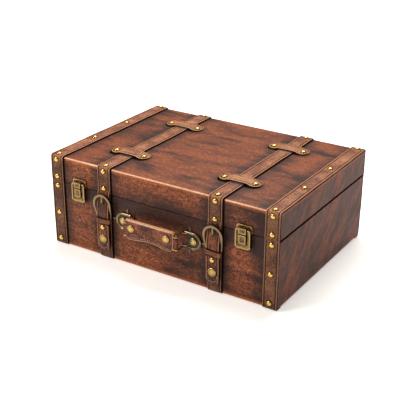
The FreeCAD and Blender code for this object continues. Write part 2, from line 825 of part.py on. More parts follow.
def grip_front_at(z):
    """Stand-off of the grip's front face, which leans in a little towards the flap's edge."""
    return grip_front - grip_lean * (roll_z - z) / (roll_z - grip_low_z)


def handle_grip():
    half = grip_length / 2
    low_front = grip_front_at(grip_low_z)
    profile = [(grip_front, roll_z), (low_front, grip_low_z), (low_front - grip_edge, grip_low_z),
               (front_bar - grip_roll, roll_z)]
    body = side_prism(profile, -half, half)
    start = Vector(-half, front(front_bar), roll_z)
    body = body.fuse(cylinder(grip_roll, start, start + X_AXIS * grip_length))
    plan = front_block(-half, half, front_bar - grip_roll, grip_front, grip_low_z, roll_z + grip_roll)
    body = body.common(fillet_where(plan, grip_end_round, lambda edge: runs_along(edge, Z_AXIS)))
    outline = plate_outline(0, grip_low_z, roll_z + grip_roll + 2 * grip_corner, grip_length, grip_corner)
    body = body.common(raise_face(outline, 0, 2 * grip_front))
    hollow = half - grip_corner
    arch = Part.Arc(Vector(-hollow, 0, grip_low_z), Vector(0, 0, grip_low_z + grip_hollow),
                    Vector(hollow, 0, grip_low_z)).toShape()
    chord = Part.makeLine(Vector(hollow, 0, grip_low_z), Vector(-hollow, 0, grip_low_z))
    cut_out = raise_face(Part.Face(Part.Wire([arch, chord])), 0, 2 * grip_front)
    body = body.cut(cut_out)
    for side, _ in SIDES:
        x = side * ring_x
        clearance = loop_fit if side < 0 else open_pivot_gap
        strip = front_block(side * (half - overlap), x, front_bar - handle_leather,
                            front_bar + handle_leather, loop_low_z, loop_low_z + handle_loop_height)
        eye = bar_loop_tube(x, front_bar, clearance)
        body = body.fuse(strip.fuse(eye)).cut(ring_bar(x, front_bar, clearance))
        rivet_hole = pierce(side * grip_rivet_x, handle_z + grip_rivet_rise, rivet_shank, 0, 2 * grip_front)
        body = body.cut(rivet_hole)
    return body.removeSplitter()


def grip_rivet(side):
    """Flat-headed rivet through the flap, with a plain head behind."""
    z = handle_z + grip_rivet_rise
    x = side * grip_rivet_x
    face = grip_front_at(z)
    share = (z - grip_low_z) / (roll_z - grip_low_z)
    low_back = grip_front_at(grip_low_z) - grip_edge
    rear = low_back + (front_bar - grip_roll - low_back) * share
    lean = math.atan2(grip_lean, roll_z - grip_low_z)
    outward = Vector(0, -math.cos(lean), -math.sin(lean))
    head = flat_head(head_radius, head_height, Vector(x, front(face), z), outward)
    shank = pierce(x, z, rivet_shank, rear - head_height / 2, face + head_height / 2)
    return head.fuse(shank).removeSplitter()


def make_handle():
    outward = Y_AXIS * -1
    for side, name in SIDES:
        add("handle_ring_" + name, handle_ring(side))
        add("handle_chapes", handle_chape(side))
        add("handle_plates", handle_plate(side))
        add("plate_rivets", plate_rivet(side))
        add("grip_rivets", grip_rivet(side))
        for centre, _ in mount_ears(side):
            at = Vector(centre.x, front(mount_ear_thickness), centre.z)
            add("base_nails", dome(mount_nail_radius, mount_nail_height, at, outward))
    add("handle_grip", handle_grip())


# Back hinge axis
hinge_y = half_depth + hinge_barrel + hinge_gap


def hinge_leaf_solid(x, rise):
    """One leaf of a back hinge; rise is +1 for the lid's leaf and -1 for the base's."""
    third = hinge_width / 3
    low = x - hinge_width / 2
    middle = [(low + third, low + 2 * third)]
    ends = [(low, low + third), (low + 2 * third, low + hinge_width)]
    spans, others = (middle, ends) if rise > 0 else (ends, middle)
    near = seam_z + rise * hinge_barrel / 2
    leaf = block(low, low + hinge_width, half_depth, half_depth + hinge_leaf,
                 near, near + rise * hinge_leaf_height)
    for start, end in others:
        room = cylinder(hinge_barrel + hinge_gap, Vector(start - hinge_gap, hinge_y, seam_z),
                        Vector(end + hinge_gap, hinge_y, seam_z))
        leaf = leaf.cut(room)
    for start, end in spans:
        inner = start + (hinge_gap if start > low else 0)
        outer = end - (hinge_gap if end < low + hinge_width else 0)
        knuckle = cylinder(hinge_barrel, Vector(inner, hinge_y, seam_z), Vector(outer, hinge_y, seam_z))
        web = block(inner, outer, half_depth, hinge_y, near, seam_z + rise * hinge_barrel)
        leaf = leaf.fuse(knuckle.fuse(web))
    fit = pin_fit if rise > 0 else 0.0
    bore = cylinder(hinge_pin + fit, Vector(low - overlap, hinge_y, seam_z),
                    Vector(low + hinge_width + overlap, hinge_y, seam_z))
    return leaf.cut(bore).removeSplitter()


def make_hinges():
    for side, _ in SIDES:
        x = side * hinge_x
        start = Vector(x - hinge_width / 2, hinge_y, seam_z)
        add("hinge_pins", cylinder(hinge_pin, start, start + X_AXIS * hinge_width))
        for rise, half in ((-1, "base"), (1, "lid")):
            add("hinge_" + half + "_leaves", hinge_leaf_solid(x, rise))
            for end in (-1, 1):
                at = Vector(x + end * (hinge_width / 2 - hinge_nail_inset), half_depth + hinge_leaf,
                            seam_z + rise * (hinge_leaf_height + hinge_barrel / 2 - hinge_nail_inset))
                add(half + "_nails", dome(nail_radius, nail_height, at, Y_AXIS))


make_case()
make_straps()
make_studs()
make_top_keepers()
make_tails()
make_latches()
make_handle()
make_hinges()

os.makedirs("parts", exist_ok=True)
for node, solids in parts.items():
    shape = solids[0] if len(solids) == 1 else Part.makeCompound(solids)
    shape.exportStep(os.path.join("parts", node + ".step"))
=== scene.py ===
# %% [markdown]
# A small suitcase in antiqued leather
#
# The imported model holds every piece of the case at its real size: boards, covering, straps, buckles, latches,
# handle. This lesson dresses it. Leather pieces and cast fittings are built as new meshes that sit where the
# model says, and flat panels keep the model's own mesh and only get a finish. All lengths below are in
# millimetres.

import math

import bmesh
import bpy
import numpy as np
from mathutils import Matrix, Vector


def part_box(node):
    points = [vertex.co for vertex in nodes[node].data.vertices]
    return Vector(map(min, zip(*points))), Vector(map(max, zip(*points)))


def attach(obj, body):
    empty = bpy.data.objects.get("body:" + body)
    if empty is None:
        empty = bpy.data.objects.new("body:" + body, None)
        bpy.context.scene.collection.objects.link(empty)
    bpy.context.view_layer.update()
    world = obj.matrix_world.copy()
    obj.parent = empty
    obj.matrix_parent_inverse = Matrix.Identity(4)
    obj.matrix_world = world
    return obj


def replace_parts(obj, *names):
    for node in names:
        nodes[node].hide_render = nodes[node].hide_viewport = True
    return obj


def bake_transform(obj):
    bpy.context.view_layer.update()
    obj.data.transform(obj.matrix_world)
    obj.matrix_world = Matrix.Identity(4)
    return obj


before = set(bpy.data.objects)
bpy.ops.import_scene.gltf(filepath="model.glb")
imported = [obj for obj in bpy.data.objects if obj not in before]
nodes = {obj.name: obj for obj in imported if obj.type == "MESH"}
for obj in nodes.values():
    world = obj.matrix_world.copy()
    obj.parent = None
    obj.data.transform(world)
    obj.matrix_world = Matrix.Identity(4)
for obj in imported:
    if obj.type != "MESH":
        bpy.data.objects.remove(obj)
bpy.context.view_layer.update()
mm = 0.001

# %% [markdown]
# Sizes from the model
#
# A dressed piece has to follow the model if the model changes. So the sizes that several steps share are read
# from the nodes' boxes here, and a piece's own box is read where that piece is made. Left and right are
# alike, so the right one gives the size.

# %% Sizes read from the model
SIDES = ((-1, "left"), (1, "right"))
keeper_lobe = 10.4


def span(node):
    """Lowest and highest corner of a node's box, in millimetres."""
    low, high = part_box(node)
    return np.array(low) / mm, np.array(high) / mm


lid_low, lid_high = span("lid_covering")
base_low, base_high = span("base_covering")
strap_low, strap_high = span("lid_strap_right")
band_low, band_high = span("lid_edge_band_right")
keeper_low, keeper_high = span("top_keepers_right")
tail_low, tail_high = span("tail_strap_right")

half_width = lid_high[0]
half_depth = lid_high[1]
front_face = -half_depth
lid_top = lid_high[2]
lid_rim = lid_low[2]
base_rim = base_high[2]
base_floor = base_low[2]
seam_z = (lid_rim + base_rim) / 2
strap_width = strap_high[0] - strap_low[0]
strap_x = (strap_high[0] + strap_low[0]) / 2
strap_thickness = strap_high[2] - lid_top
band_width = band_high[0] - band_low[0]
band_x = (band_high[0] + band_low[0]) / 2
keeper_half = (keeper_high[0] - keeper_low[0]) / 2
keeper_y = keeper_high[1] - keeper_lobe
tail_end = tail_low[2]
print("case", 2 * half_width, 2 * half_depth, lid_top, "straps at", strap_x, "bands at", band_x)

# %% [markdown]
# Camera
#
# The photograph was taken from a little above, off the right front corner, with a long lens. A camera could
# be set by eye, but then no difference could be blamed on a piece for certain. One solved from the studs and
# the outline of the box gives the angles, the distance and the focal length in pixels. Blender wants the lens
# in millimetres on a 36 mm sensor.

# %% Camera
picture_side = 416
focal_pixels = 885.75
sensor = 36.0
azimuth = math.radians(31.746)
elevation = math.radians(24.668)
roll = math.radians(0.628)
camera_distance = 1412.24
aim_height = 75.0
aim_right = -2.36
aim_up = -18.72

right = Vector((math.cos(azimuth), math.sin(azimuth), 0))
back = Vector((math.sin(azimuth) * math.cos(elevation), -math.cos(azimuth) * math.cos(elevation),
               math.sin(elevation)))
up = back.cross(right)
aim = Vector((0, 0, aim_height)) + aim_right * right + aim_up * up
lens_right = math.cos(roll) * right + math.sin(roll) * up
lens_up = math.cos(roll) * up - math.sin(roll) * right

camera = bpy.data.objects.new("camera", bpy.data.cameras.new("camera"))
camera.data.sensor_width = sensor
camera.data.lens = sensor * focal_pixels / picture_side
camera_turn = Matrix((lens_right, lens_up, back)).transposed().to_4x4()
camera.matrix_world = Matrix.Translation((aim + camera_distance * back) * mm) @ camera_turn
scene = bpy.context.scene
scene.collection.objects.link(camera)
scene.camera = camera
print("lens", round(camera.data.lens, 2))

# %% [markdown]
# Floor and light
#
# A plain pale floor and soft light keep the eye on the leather. A white world lights every side, and three
# large area lamps shape the case: a key from the front left above, a top lamp that draws the bright line on
# the lid's edge, and a weak warm fill for the right end. A picture of a studio would light it too, but lamps
# can be aimed one by one. Colours go straight to the screen with the Standard view, because the finishes
# below are matched as plain colours.

# %% Floor and light
floor_side = 12000
floor_drop = 0.1
world_colour = (1.0, 0.985, 0.97, 1.0)
world_strength = 0.22
scene.view_settings.view_transform = "Standard"

world = bpy.data.worlds.new("studio")
world.use_nodes = True
world.node_tree.nodes["Background"].inputs["Color"].default_value = world_colour
world.node_tree.nodes["Background"].inputs["Strength"].default_value = world_strength
scene.world = world


def area_lamp(name, place, target, size, power, colour):
    """Square lamp at a place, turned to its target."""
    lamp = bpy.data.lights.new(name, "AREA")
    lamp.size = size * mm
    lamp.energy = power
    lamp.color = colour
    holder = bpy.data.objects.new(name, lamp)
    holder.location = Vector(place) * mm
    holder.rotation_euler = (Vector(target) - Vector(place)).to_track_quat("-Z", "Y").to_euler()
    scene.collection.objects.link(holder)


area_lamp("key", place=(-1300, -1500, 1500), target=(0, 0, 60), size=1000, power=50, colour=(1.0, 0.95, 0.89))
area_lamp("top", place=(-250, 800, 1850), target=(0, 0, 100), size=1300, power=55, colour=(1.0, 0.97, 0.94))
area_lamp("fill", place=(1900, 300, 700), target=(0, 0, 70), size=1200, power=8, colour=(1.0, 0.90, 0.80))

floor_mesh = bpy.data.meshes.new("floor")
floor_reach = floor_side / 2 * mm
floor_corners = [(a * floor_reach, b * floor_reach, -floor_drop * mm)
                 for a, b in ((-1, -1), (1, -1), (1, 1), (-1, 1))]
floor_mesh.from_pydata(floor_corners, [], [(0, 1, 2, 3)])
floor = bpy.data.objects.new("floor", floor_mesh)
scene.collection.objects.link(floor)

# %% [markdown]
# Writing finishes as sums
#
# A finish is a graph of nodes. Linking nodes one by one takes many lines, and a graph is easier to read as
# arithmetic. A Wire holds one output socket and turns Python's signs into Math nodes, so `1 - grain * depth`
# reads as it is meant.

# %% Wires
class Wire:
    """One output socket that takes part in sums."""

    def __init__(self, finish, socket):
        self.finish = finish
        self.socket = socket

    def maths(self, operation, *terms):
        return self.finish.node("ShaderNodeMath", {"operation": operation}, dict(enumerate(terms)))

    def __add__(self, other):
        return self.maths("ADD", self, other)

    def __radd__(self, other):
        return self.maths("ADD", other, self)

    def __sub__(self, other):
        return self.maths("SUBTRACT", self, other)

    def __rsub__(self, other):
        return self.maths("SUBTRACT", other, self)

    def __mul__(self, other):
        return self.maths("MULTIPLY", self, other)

    def __rmul__(self, other):
        return self.maths("MULTIPLY", other, self)

    def __abs__(self):
        return self.maths("ABSOLUTE", self)

    def least(self, other):
        return self.maths("MINIMUM", self, other)

    def most(self, other):
        return self.maths("MAXIMUM", self, other)

    def root(self):
        return self.maths("SQRT", self)

    def wave(self):
        return self.maths("SINE", self)


print("wires ready")

# %% [markdown]
# One class for every finish
#
# A Finish holds the material and makes every kind of node with one method: first the node's settings, then
# what goes into its sockets. A few short methods name the nodes that come up often. The painted shadow lines
# on the leather take no gloss at all, so a second, dull black shader can be mixed in for them. The floor gets
# the first finish.

# %% Finishes
# Colour of the darkest painted shadow lines, which take no gloss.
painted_shadow_black = "1c0f0b"


def paint(code):
    """Linear colour of a six-digit screen colour."""
    screen = [int(code[i:i + 2], 16) / 255 for i in (0, 2, 4)]
    return [c / 12.92 if c <= 0.04045 else ((c + 0.055) / 1.055) ** 2.4 for c in screen] + [1.0]


class Finish:
    """A material and the nodes that feed its shader."""

    def __init__(self, name):
        self.material = bpy.data.materials.new(name)
        self.material.use_nodes = True
        self.tree = self.material.node_tree
        self.shader = self.tree.nodes["Principled BSDF"]
        self.place = self.node("ShaderNodeTexCoord", output="Object")

    def node(self, kind, settings=None, sockets=None, output=0):
        made = self.tree.nodes.new(kind)
        for key, value in (settings or {}).items():
            setattr(made, key, value)
        for key, value in (sockets or {}).items():
            self.feed(made.inputs[key], value)
        return Wire(self, made.outputs[output])

    def feed(self, socket, value):
        if isinstance(value, Wire):
            self.tree.links.new(value.socket, socket)
        else:
            socket.default_value = value

    def show(self, painted_shadow=None, **sockets):
        """Feeds the shader, whose socket names have underscores for spaces; painted shadow lines are mixed in
        dull black.
        """
        for key, value in sockets.items():
            self.feed(self.shader.inputs[key.replace("_", " ")], value)
        if painted_shadow is not None:
            dull = self.node("ShaderNodeBsdfPrincipled", {}, {
                "Base Color": paint(painted_shadow_black), "Roughness": 1.0, "Specular IOR Level": 0.0})
            glossy = Wire(self, self.shader.outputs[0])
            mixed = self.node("ShaderNodeMixShader", {}, {0: painted_shadow, 1: glossy, 2: dull})
            self.feed(self.tree.nodes["Material Output"].inputs["Surface"], mixed)
        return self.material

    def axes(self):
        """The position's x, y and z."""
        return [self.node("ShaderNodeSeparateXYZ", {}, {0: self.place}, k) for k in range(3)]

    def stretched(self, factors):
        return self.node("ShaderNodeVectorMath", {"operation": "MULTIPLY"}, {0: self.place, 1: factors})

    def noise(self, scale, detail=3.0, roughness=0.55, distortion=0.0, where=None):
        return self.node("ShaderNodeTexNoise", {}, {
            "Vector": where or self.place, "Scale": scale, "Detail": detail, "Roughness": roughness,
            "Distortion": distortion})

    def cells(self, scale, where=None):
        sockets = {"Vector": where or self.place, "Scale": scale}
        return self.node("ShaderNodeTexVoronoi", {}, sockets, "Distance")

    def between(self, value, low, high):
        """0 below low, 1 above high and a soft step between them; it falls instead where low is above high."""
        return self.node("ShaderNodeMapRange", {"interpolation_type": "SMOOTHSTEP"},
                         {0: value, 1: low, 2: high, 3: 0.0, 4: 1.0})

    def within(self, distance, low, high):
        """The same soft step, with its two limits in millimetres."""
        return self.between(distance, low * mm, high * mm)

    def blend(self, share, first, second):
        return self.node("ShaderNodeMix", {"data_type": "RGBA"}, {0: share, 6: first, 7: second}, 2)

    def shade(self, share, colour):
        """A grey of the given share multiplied into a colour."""
        grey = self.node("ShaderNodeCombineColor", {}, {0: share, 1: share, 2: share})
        return self.node("ShaderNodeMix", {"data_type": "RGBA", "blend_type": "MULTIPLY"},
                         {0: 1.0, 6: colour, 7: grey}, 2)

    def wear_and_shade(self):
        """The number that the meshes below carry at each vertex."""
        return self.node("ShaderNodeAttribute", {"attribute_name": "wear_and_shade"}, output="Fac")

    def bump(self, height, depth, strength=1.0):
        sockets = {"Height": height, "Distance": depth * mm, "Strength": strength}
        return self.node("ShaderNodeBump", {}, sockets)


floor_finish = Finish("pale_floor")
floor_mesh.materials.append(floor_finish.show(
    Base_Color=paint("e4e2df"), Roughness=0.8, Emission_Strength=0.4, Emission_Color=paint("fffdfa")))
print("finishes ready, first one", floor_finish.material.name)

# %% [markdown]
# Painted shadow beside raised pieces
#
# Straps, bands and keepers stand off the covering, and shadow gathers beside them. Soft light alone draws
# those lines too weakly, and harder light would spoil the rest, so the finishes paint the shadow in. A strap's
# line depends only on x, and it is wide on the side away from the key lamp. A keeper is a bar with round ends,
# so the distance to the bar's middle line tells how far a point lies beyond its edge.

# %% Contact lines
line_start = 0.8
shaded_line = 4.6
lit_line = 1.6
shade_reach = 2.8
shade_slip = 1.9
shade_trim = 1


def strap_shade(finish, x):
    """Painted shadow beside each strap and band: 0 in it, 1 away from it."""
    shade = 1.0
    for centre, width in ((strap_x, strap_width), (band_x, band_width)):
        for side, _ in SIDES:
            beyond = x - side * centre * mm
            shaded = finish.within(beyond, width / 2 + line_start, width / 2 + shaded_line)
            lit = finish.within(beyond * -1, width / 2, width / 2 + lit_line)
            shade = shaded.most(lit) * shade
    return shade


def keeper_shade(finish, x, y, reach):
    """Painted shadow that each keeper throws on what lies under its front edge: 0 in it, 1 away from it."""
    shade = 1.0
    beyond = (abs(abs(x) - strap_x * mm) - (keeper_half - keeper_lobe - shade_trim) * mm).most(0.0)
    for place in (-keeper_y, keeper_y):
        beside = y - (place - shade_slip) * mm
        distance = (beyond * beyond + beside * beside).root()
        shade = finish.within(distance, keeper_lobe, keeper_lobe + reach) * shade
    return shade


print("contact lines", shaded_line, "wide beside straps,", shade_reach, "in front of keepers")

# %% [markdown]
# Places on the covering
#
# The case is wrapped in leather that was stained nearly black-brown and then rubbed back, so an orange ground
# shows through in clouds, in fine flecks inside the clouds, and as a bright line wherever an edge has been
# handled. Images could hold that, but noise in the case's own space needs no unwrapping and runs on from the
# lid to the base. First a point has to know where it lies: on which wall, how far from the nearest edge and
# how far from the seam. On a face one of the three distances to the outer planes is zero, so the smallest sum
# of two tells how far the edge is.

# %% Places on the covering
on_wall = (2.5, 1.0)


class Covering(Finish):
    """A finish that knows where a point of the covering lies, with the noises that all its layers share."""

    def __init__(self, name, floor_z, rim_z):
        super().__init__(name)
        self.x, self.y, self.z = x, y, z = self.axes()
        self.beside_x = half_width * mm - abs(x)
        self.beside_y = half_depth * mm - abs(y)
        self.beside_z = abs(z - floor_z * mm)
        self.edge = (self.beside_x + self.beside_y).least(self.beside_y + self.beside_z).least(
            self.beside_x + self.beside_z)
        self.rim = abs(z - rim_z * mm)
        self.end_wall = self.within(self.beside_x, *on_wall)
        self.front_wall = self.within(self.beside_y, *on_wall)
        self.wall = self.front_wall.most(self.end_wall)

        drawn = self.node("ShaderNodeCombineXYZ", {}, {0: x * 4.0, 1: (y + z) * 8.0, 2: (y - z) * 13.0})
        self.clouds = self.noise(1.5, 5.0, 0.60, 0.5, drawn)
        self.streaks = self.noise(6.0, 4.0, 0.6, 0.3, drawn)
        grain_way = self.stretched((0.55, 1.0, 1.0))
        self.flecks = (self.noise(860.0, 2.0, 0.5, 0.6, grain_way) * 0.65
                       + self.noise(260.0, 2.0, 0.5, 0.6, grain_way) * 0.35)
        self.pores = self.cells(760.0, grain_way)


print("covering", round(2 * half_width, 1), "by", round(2 * half_depth, 1), "with a seam at", round(seam_z, 1))

# %% [markdown]
# Rubbed leather
#
# The stain was rubbed away most in the open fields, less beside straps and bands, and hardly at all under the
# lid's rim. On the top it is kept darker round the keepers, through their shadow mask widened, and along the
# front it is rubbed more towards the left end, a painted gradient of the key lamp's light. The flecks let the
# orange ground through where it is rubbed. The end walls were brushed on a slant and keep a redder ground. One
# noise through a colour ramp would look like stone, so fields, flecks and brush marks are masks of their own.

# %% Rubbed leather
dark_stain = "2c1a18"
thin_stain = "562e25"
orange_ground = "bc6531"
pale_fleck = "dd9460"
end_ground = "3c1608"
end_marks = "a04a1c"
strap_clear = (13, 34)
band_clear = (21, 48)
rim_stain = (34, 16)
keeper_dark_reach = 16.0


def rub(skin, shaded_rim):
    """How far the stain is rubbed away, and how much light the flecks let through."""
    from_strap = abs(abs(skin.x) - strap_x * mm)
    clear = skin.within(from_strap, *strap_clear) * skin.within(skin.beside_x, *band_clear)
    clear = clear.most(skin.end_wall * 0.6)
    stained = skin.within(skin.rim, *rim_stain) * skin.front_wall * (1 - skin.end_wall) * shaded_rim
    # The -x term rubs the front more towards its left end: a painted gradient of the key lamp's light.
    mottle = skin.clouds * 0.6 + skin.streaks * 0.4 + clear * 0.08 - skin.x * skin.front_wall * 0.35
    share = 0.50 - 0.22 * skin.front_wall + (0.50 + 0.22 * skin.front_wall) * clear
    rubbed = skin.between(mottle, 0.40, 0.68) * share * (1 - 0.85 * stained)
    # The top is kept darker round the keepers, through their shadow mask widened.
    rubbed = rubbed * (0.25 + 0.75 * keeper_shade(skin, skin.x, skin.y, keeper_dark_reach).most(skin.wall))
    fleck_light = skin.between(skin.flecks, 0.45, 0.58)
    fleck_light = fleck_light + (0.44 - fleck_light) * (1 - skin.wall) * 0.4
    return rubbed, fleck_light


def ground_colour(skin, rubbed, fleck_light):
    """Stain over orange ground."""
    glow = (0.03 + 0.97 * rubbed) * (0.05 + 0.95 * fleck_light)
    colour = skin.blend(rubbed * 0.8, paint(dark_stain), paint(thin_stain))
    colour = skin.blend(glow * 0.85, colour, paint(orange_ground))
    return skin.blend(skin.between(skin.flecks, 0.58, 0.70) * rubbed * 0.7, colour, paint(pale_fleck))


def brush_ends(skin, colour, fleck_light):
    """The end walls' red ground with its slanted brush marks."""
    x, y, z = skin.x, skin.y, skin.z
    slant = skin.node("ShaderNodeCombineXYZ", {}, {0: x, 1: (y + z) * 7.0, 2: (y - z) * 26.0})
    marks = skin.between(skin.noise(1.6, 5.0, 0.62, 0.4, slant), 0.44, 0.66) * (0.4 + 0.6 * fleck_light)
    colour = skin.blend(skin.end_wall * 0.7, colour, paint(end_ground))
    return skin.blend(skin.end_wall * marks * 0.8, colour, paint(end_marks))


print("rub ready, full from", strap_clear[1], "beside the straps")

# %% [markdown]
# Worn edges, painted highlight and painted shadows
#
# Hands rub an edge bright, and the bright line frays where the flecks lie. On the lid's front fold a pale
# painted highlight lies over that wear. Blender can find edges by itself, but only where a mesh is fine, and
# the covering's is not, so the distances from above are used. The painted shadows and shade lie only on the
# outer skin, so that none shows on the turned-in rim when the lid is open.

# %% Worn edges and painted light
handled_orange = "cc6e30"
end_orange = "c4662c"
fold_orange = "b8622f"
# Painted highlight: the pale line along the lid's front fold.
painted_fold_highlight = "ffdcb8"
handled_edge = (12.5, 6.0)
seam_edge = (3.6, 2.0)
fold_edge = (3.5, 2.6)
fold_highlight_edge = (3.3, 2.4)
fold_ends = (4, 6)
end_top_edge = (9, 5)
# Painted shade in the seam, and painted shadow under the bands' edges and in the seam on the end walls.
seam_shade_edge = (0.4, 1.5)
end_shadow_edge = (1.8, 0.9)
end_shadow_seam = (1.9, 1.2)


def frayed(skin, distance, fray, limits):
    """Soft step along an edge whose line wanders with the flecks."""
    return skin.within(distance + skin.flecks * fray * mm, *limits)


def wear_edges(skin, colour, fleck_light, shown_fold):
    """Bright edges and the lid fold's pale painted highlight; end walls are brushed between handled edges and
    folds.
    """
    handled = frayed(skin, skin.edge, 10, handled_edge) * (0.30 + 0.70 * skin.front_wall)
    at_seam = frayed(skin, skin.rim, 3, seam_edge) * 0.3
    handled = (handled * (0.3 + 0.7 * fleck_light)).most(at_seam * fleck_light)
    end_top = frayed(skin, skin.beside_z, 8, end_top_edge) * skin.end_wall * shown_fold
    fold = frayed(skin, skin.edge, 2.6, fold_edge) * (0.25 + 0.9 * skin.streaks) * (1 - 0.5 * skin.end_wall)
    # Painted highlight: a pale line along the lid's front fold, broken by the streaks.
    fold_highlight = frayed(skin, skin.edge, 2.6, fold_highlight_edge) * shown_fold
    fold_highlight = fold_highlight * skin.within(skin.beside_x, *fold_ends) * (0.2 + 1.0 * skin.streaks)
    colour = skin.blend(handled, colour, paint(handled_orange))
    colour = brush_ends(skin, colour, fleck_light)
    colour = skin.blend(end_top * 0.6, colour, paint(end_orange))
    colour = skin.blend(fold, colour, paint(fold_orange))
    return skin.blend(fold_highlight, colour, paint(painted_fold_highlight))


def dark_lines(skin, shown_fold):
    """Painted shadow beside raised pieces, painted shade in the seam, and the darkest painted shadow as dull
    black.
    """
    outer = skin.front_wall.most(skin.within(skin.beside_z, *on_wall)) * (1 - skin.end_wall)
    contact = strap_shade(skin, skin.x) * keeper_shade(skin, skin.x, skin.y, shade_reach)
    contact = contact.most(1 - outer)
    seam_shade = skin.within(skin.rim, *seam_shade_edge).most(1 - skin.wall)
    # Painted shadow under the bands' edges and in the seam, on the end walls only.
    beside_band = skin.beside_y.least(skin.beside_z + (1 - shown_fold))
    end_shadow = skin.within(beside_band, *end_shadow_edge).most(skin.within(skin.rim, *end_shadow_seam)) * skin.end_wall
    return contact, seam_shade, skin.between(contact, 0.75, 0.15).most(end_shadow)


print("edges ready, front fold", fold_highlight_edge[1], "wide")

# %% [markdown]
# The covering
#
# Two finishes made apart would drift apart, so lid and base share one recipe. The lid shows the painted
# highlight on its front fold, and the base keeps more of the dark stain along its rim.

# %% Covering finish
def covering_finish(name, floor_z, rim_z, shown_fold, shaded_rim):
    """Leather of one half; shown_fold is 1 on the lid and 0 on the base, and turns on the pale painted
    highlight of the front fold and the marks on the lid's end walls; shaded_rim is the share of dark stain left
    along its rim."""
    skin = Covering(name, floor_z, rim_z)
    rubbed, fleck_light = rub(skin, shaded_rim)
    colour = ground_colour(skin, rubbed, fleck_light)
    colour = wear_edges(skin, colour, fleck_light, shown_fold)
    contact, seam_shade, painted_shadow = dark_lines(skin, shown_fold)
    pits = skin.between(skin.pores, 0.55, 0.15)
    # Painted shadow beside raised pieces and painted shade in the seam darken the colour, as do the pores.
    colour = skin.shade((0.06 + 0.94 * contact) * (0.2 + 0.8 * seam_shade) * (0.70 + 0.30 * pits), colour)
    grain = skin.pores * 0.6 + skin.flecks * 0.4
    return skin.show(painted_shadow, Base_Color=colour, Roughness=0.44 + 0.16 * skin.flecks - 0.06 * rubbed,
                     Specular_IOR_Level=0.18, Normal=skin.bump(grain, 0.18, 0.5))


def dress(node, material):
    """Gives a model node its finish."""
    nodes[node].data.materials.clear()
    nodes[node].data.materials.append(material)


dress("lid_covering", covering_finish("lid_covering_leather", lid_top, lid_rim, 1.0, 0.4))
dress("base_covering", covering_finish("base_covering_leather", base_floor, base_rim, 0.0, 1.0))
print("covering dressed")

# %% [markdown]
# Strap leather
#
# Straps, bands, keepers and the handle are a firmer leather: tanned, stained and waxed, with cut edges that
# stay orange where the stain rubbed off. The meshes below carry one number per vertex for wear and painted
# shade: 1 on cut edges and folds, low where wax stays in the grooves, and -1 where shade is painted, on side
# walls, inside loops, at the tails' loop mouths and in the rings round heads; on the grip's roll it also paints
# a highlight.
# The finish reads that number, so wear and painted shade sit on the real edge of every piece, however it is
# bent. The legs of the straps get painted shade, so they are darker than the runs on the lid, and painted
# shadow darkens the straps under the keepers' front edges and behind the tails.

# %% Strap leather finish
leg_fade = (8, 1)
tail_tip_fade = 8


def strap_finish(name, dark, mid, light, edge, polish=0.2, leg_shade=1.0):
    """Strap leather; what hangs below the lid's top is darkened to the leg share, as painted shade."""
    finish = Finish(name)
    x, y, level = finish.axes()
    lifted = finish.within(level, lid_top - leg_fade[0], lid_top - leg_fade[1])
    clouds = finish.noise(38.0, 4.0, 0.6, 0.3)
    flecks = finish.noise(480.0, 3.0, 0.6, 0.6)
    pores = finish.cells(760.0)
    wear_and_shade = finish.wear_and_shade()
    tone = finish.between(clouds * 0.5 + flecks * 0.5, 0.40, 0.60)
    colour = finish.blend(tone, paint(dark), paint(mid))
    colour = finish.blend(finish.between(flecks + clouds * 0.5, 0.74, 0.95) * 0.7, colour, paint(light))
    colour = finish.blend(finish.between(wear_and_shade + (flecks - 0.5) * 0.3, 0.35, 0.85), colour, paint(edge))
    # A low number darkens: wax in the grooves, and painted shade on side walls, inside loops, at the tails'
    # loop mouths and in the rings round heads.
    colour = finish.blend(finish.between(wear_and_shade, -0.1, -0.8), colour, paint("1c110e"))
    pits = finish.between(pores, 0.5, 0.12)
    # Painted shadow on the straps only: under the keepers' front edges on the lid's top, and behind the tails.
    under = 1.0
    if leg_shade < 1:
        behind_tail = (finish.within(level, tail_end, tail_end + tail_tip_fade)
                       * finish.within(level, seam_z, base_rim)
                       * finish.within(abs(abs(x) - strap_x * mm), strap_width, 0.6 * strap_width)
                       * finish.within(y, 0.0, front_face))
        under = keeper_shade(finish, x, y, shade_reach).most(1 - lifted) * (1 - 0.5 * behind_tail)
    # Painted shade: the legs hanging down the walls are darker than the runs on the lid's top.
    leg_shading = leg_shade + (1 - leg_shade) * lifted
    colour = finish.shade((0.62 + 0.38 * pits) * leg_shading * (0.06 + 0.94 * under), colour)
    grain = pores * 0.6 + flecks * 0.4
    gloss = finish.between(wear_and_shade, 0.2, 0.7)
    return finish.show(Base_Color=colour, Roughness=0.46 + 0.14 * flecks, Specular_IOR_Level=0.2,
                       Coat_Weight=gloss * polish, Coat_Roughness=0.28, Normal=finish.bump(grain, 0.15, 0.6))


def thread_finish(name, colour):
    """Twisted thread, whose strands are one wave across the case."""
    finish = Finish(name)
    x, y, z = finish.axes()
    twist = ((x + y + z) * 9000.0).wave()
    return finish.show(Base_Color=finish.shade(0.8 + 0.2 * twist, paint(colour)), Roughness=0.75,
                       Normal=finish.bump(twist, 0.05, 0.5))


strap_leather = strap_finish("strap_leather", "6c3d2a", "a86848", "cf966c", "cc8850", leg_shade=0.5)
keeper_leather = strap_finish("keeper_leather", "804a32", "b67850", "d89e70", "dca06a")
tail_leather = strap_finish("tail_leather", "3a221b", "7c442f", "b4663c", "b87040")
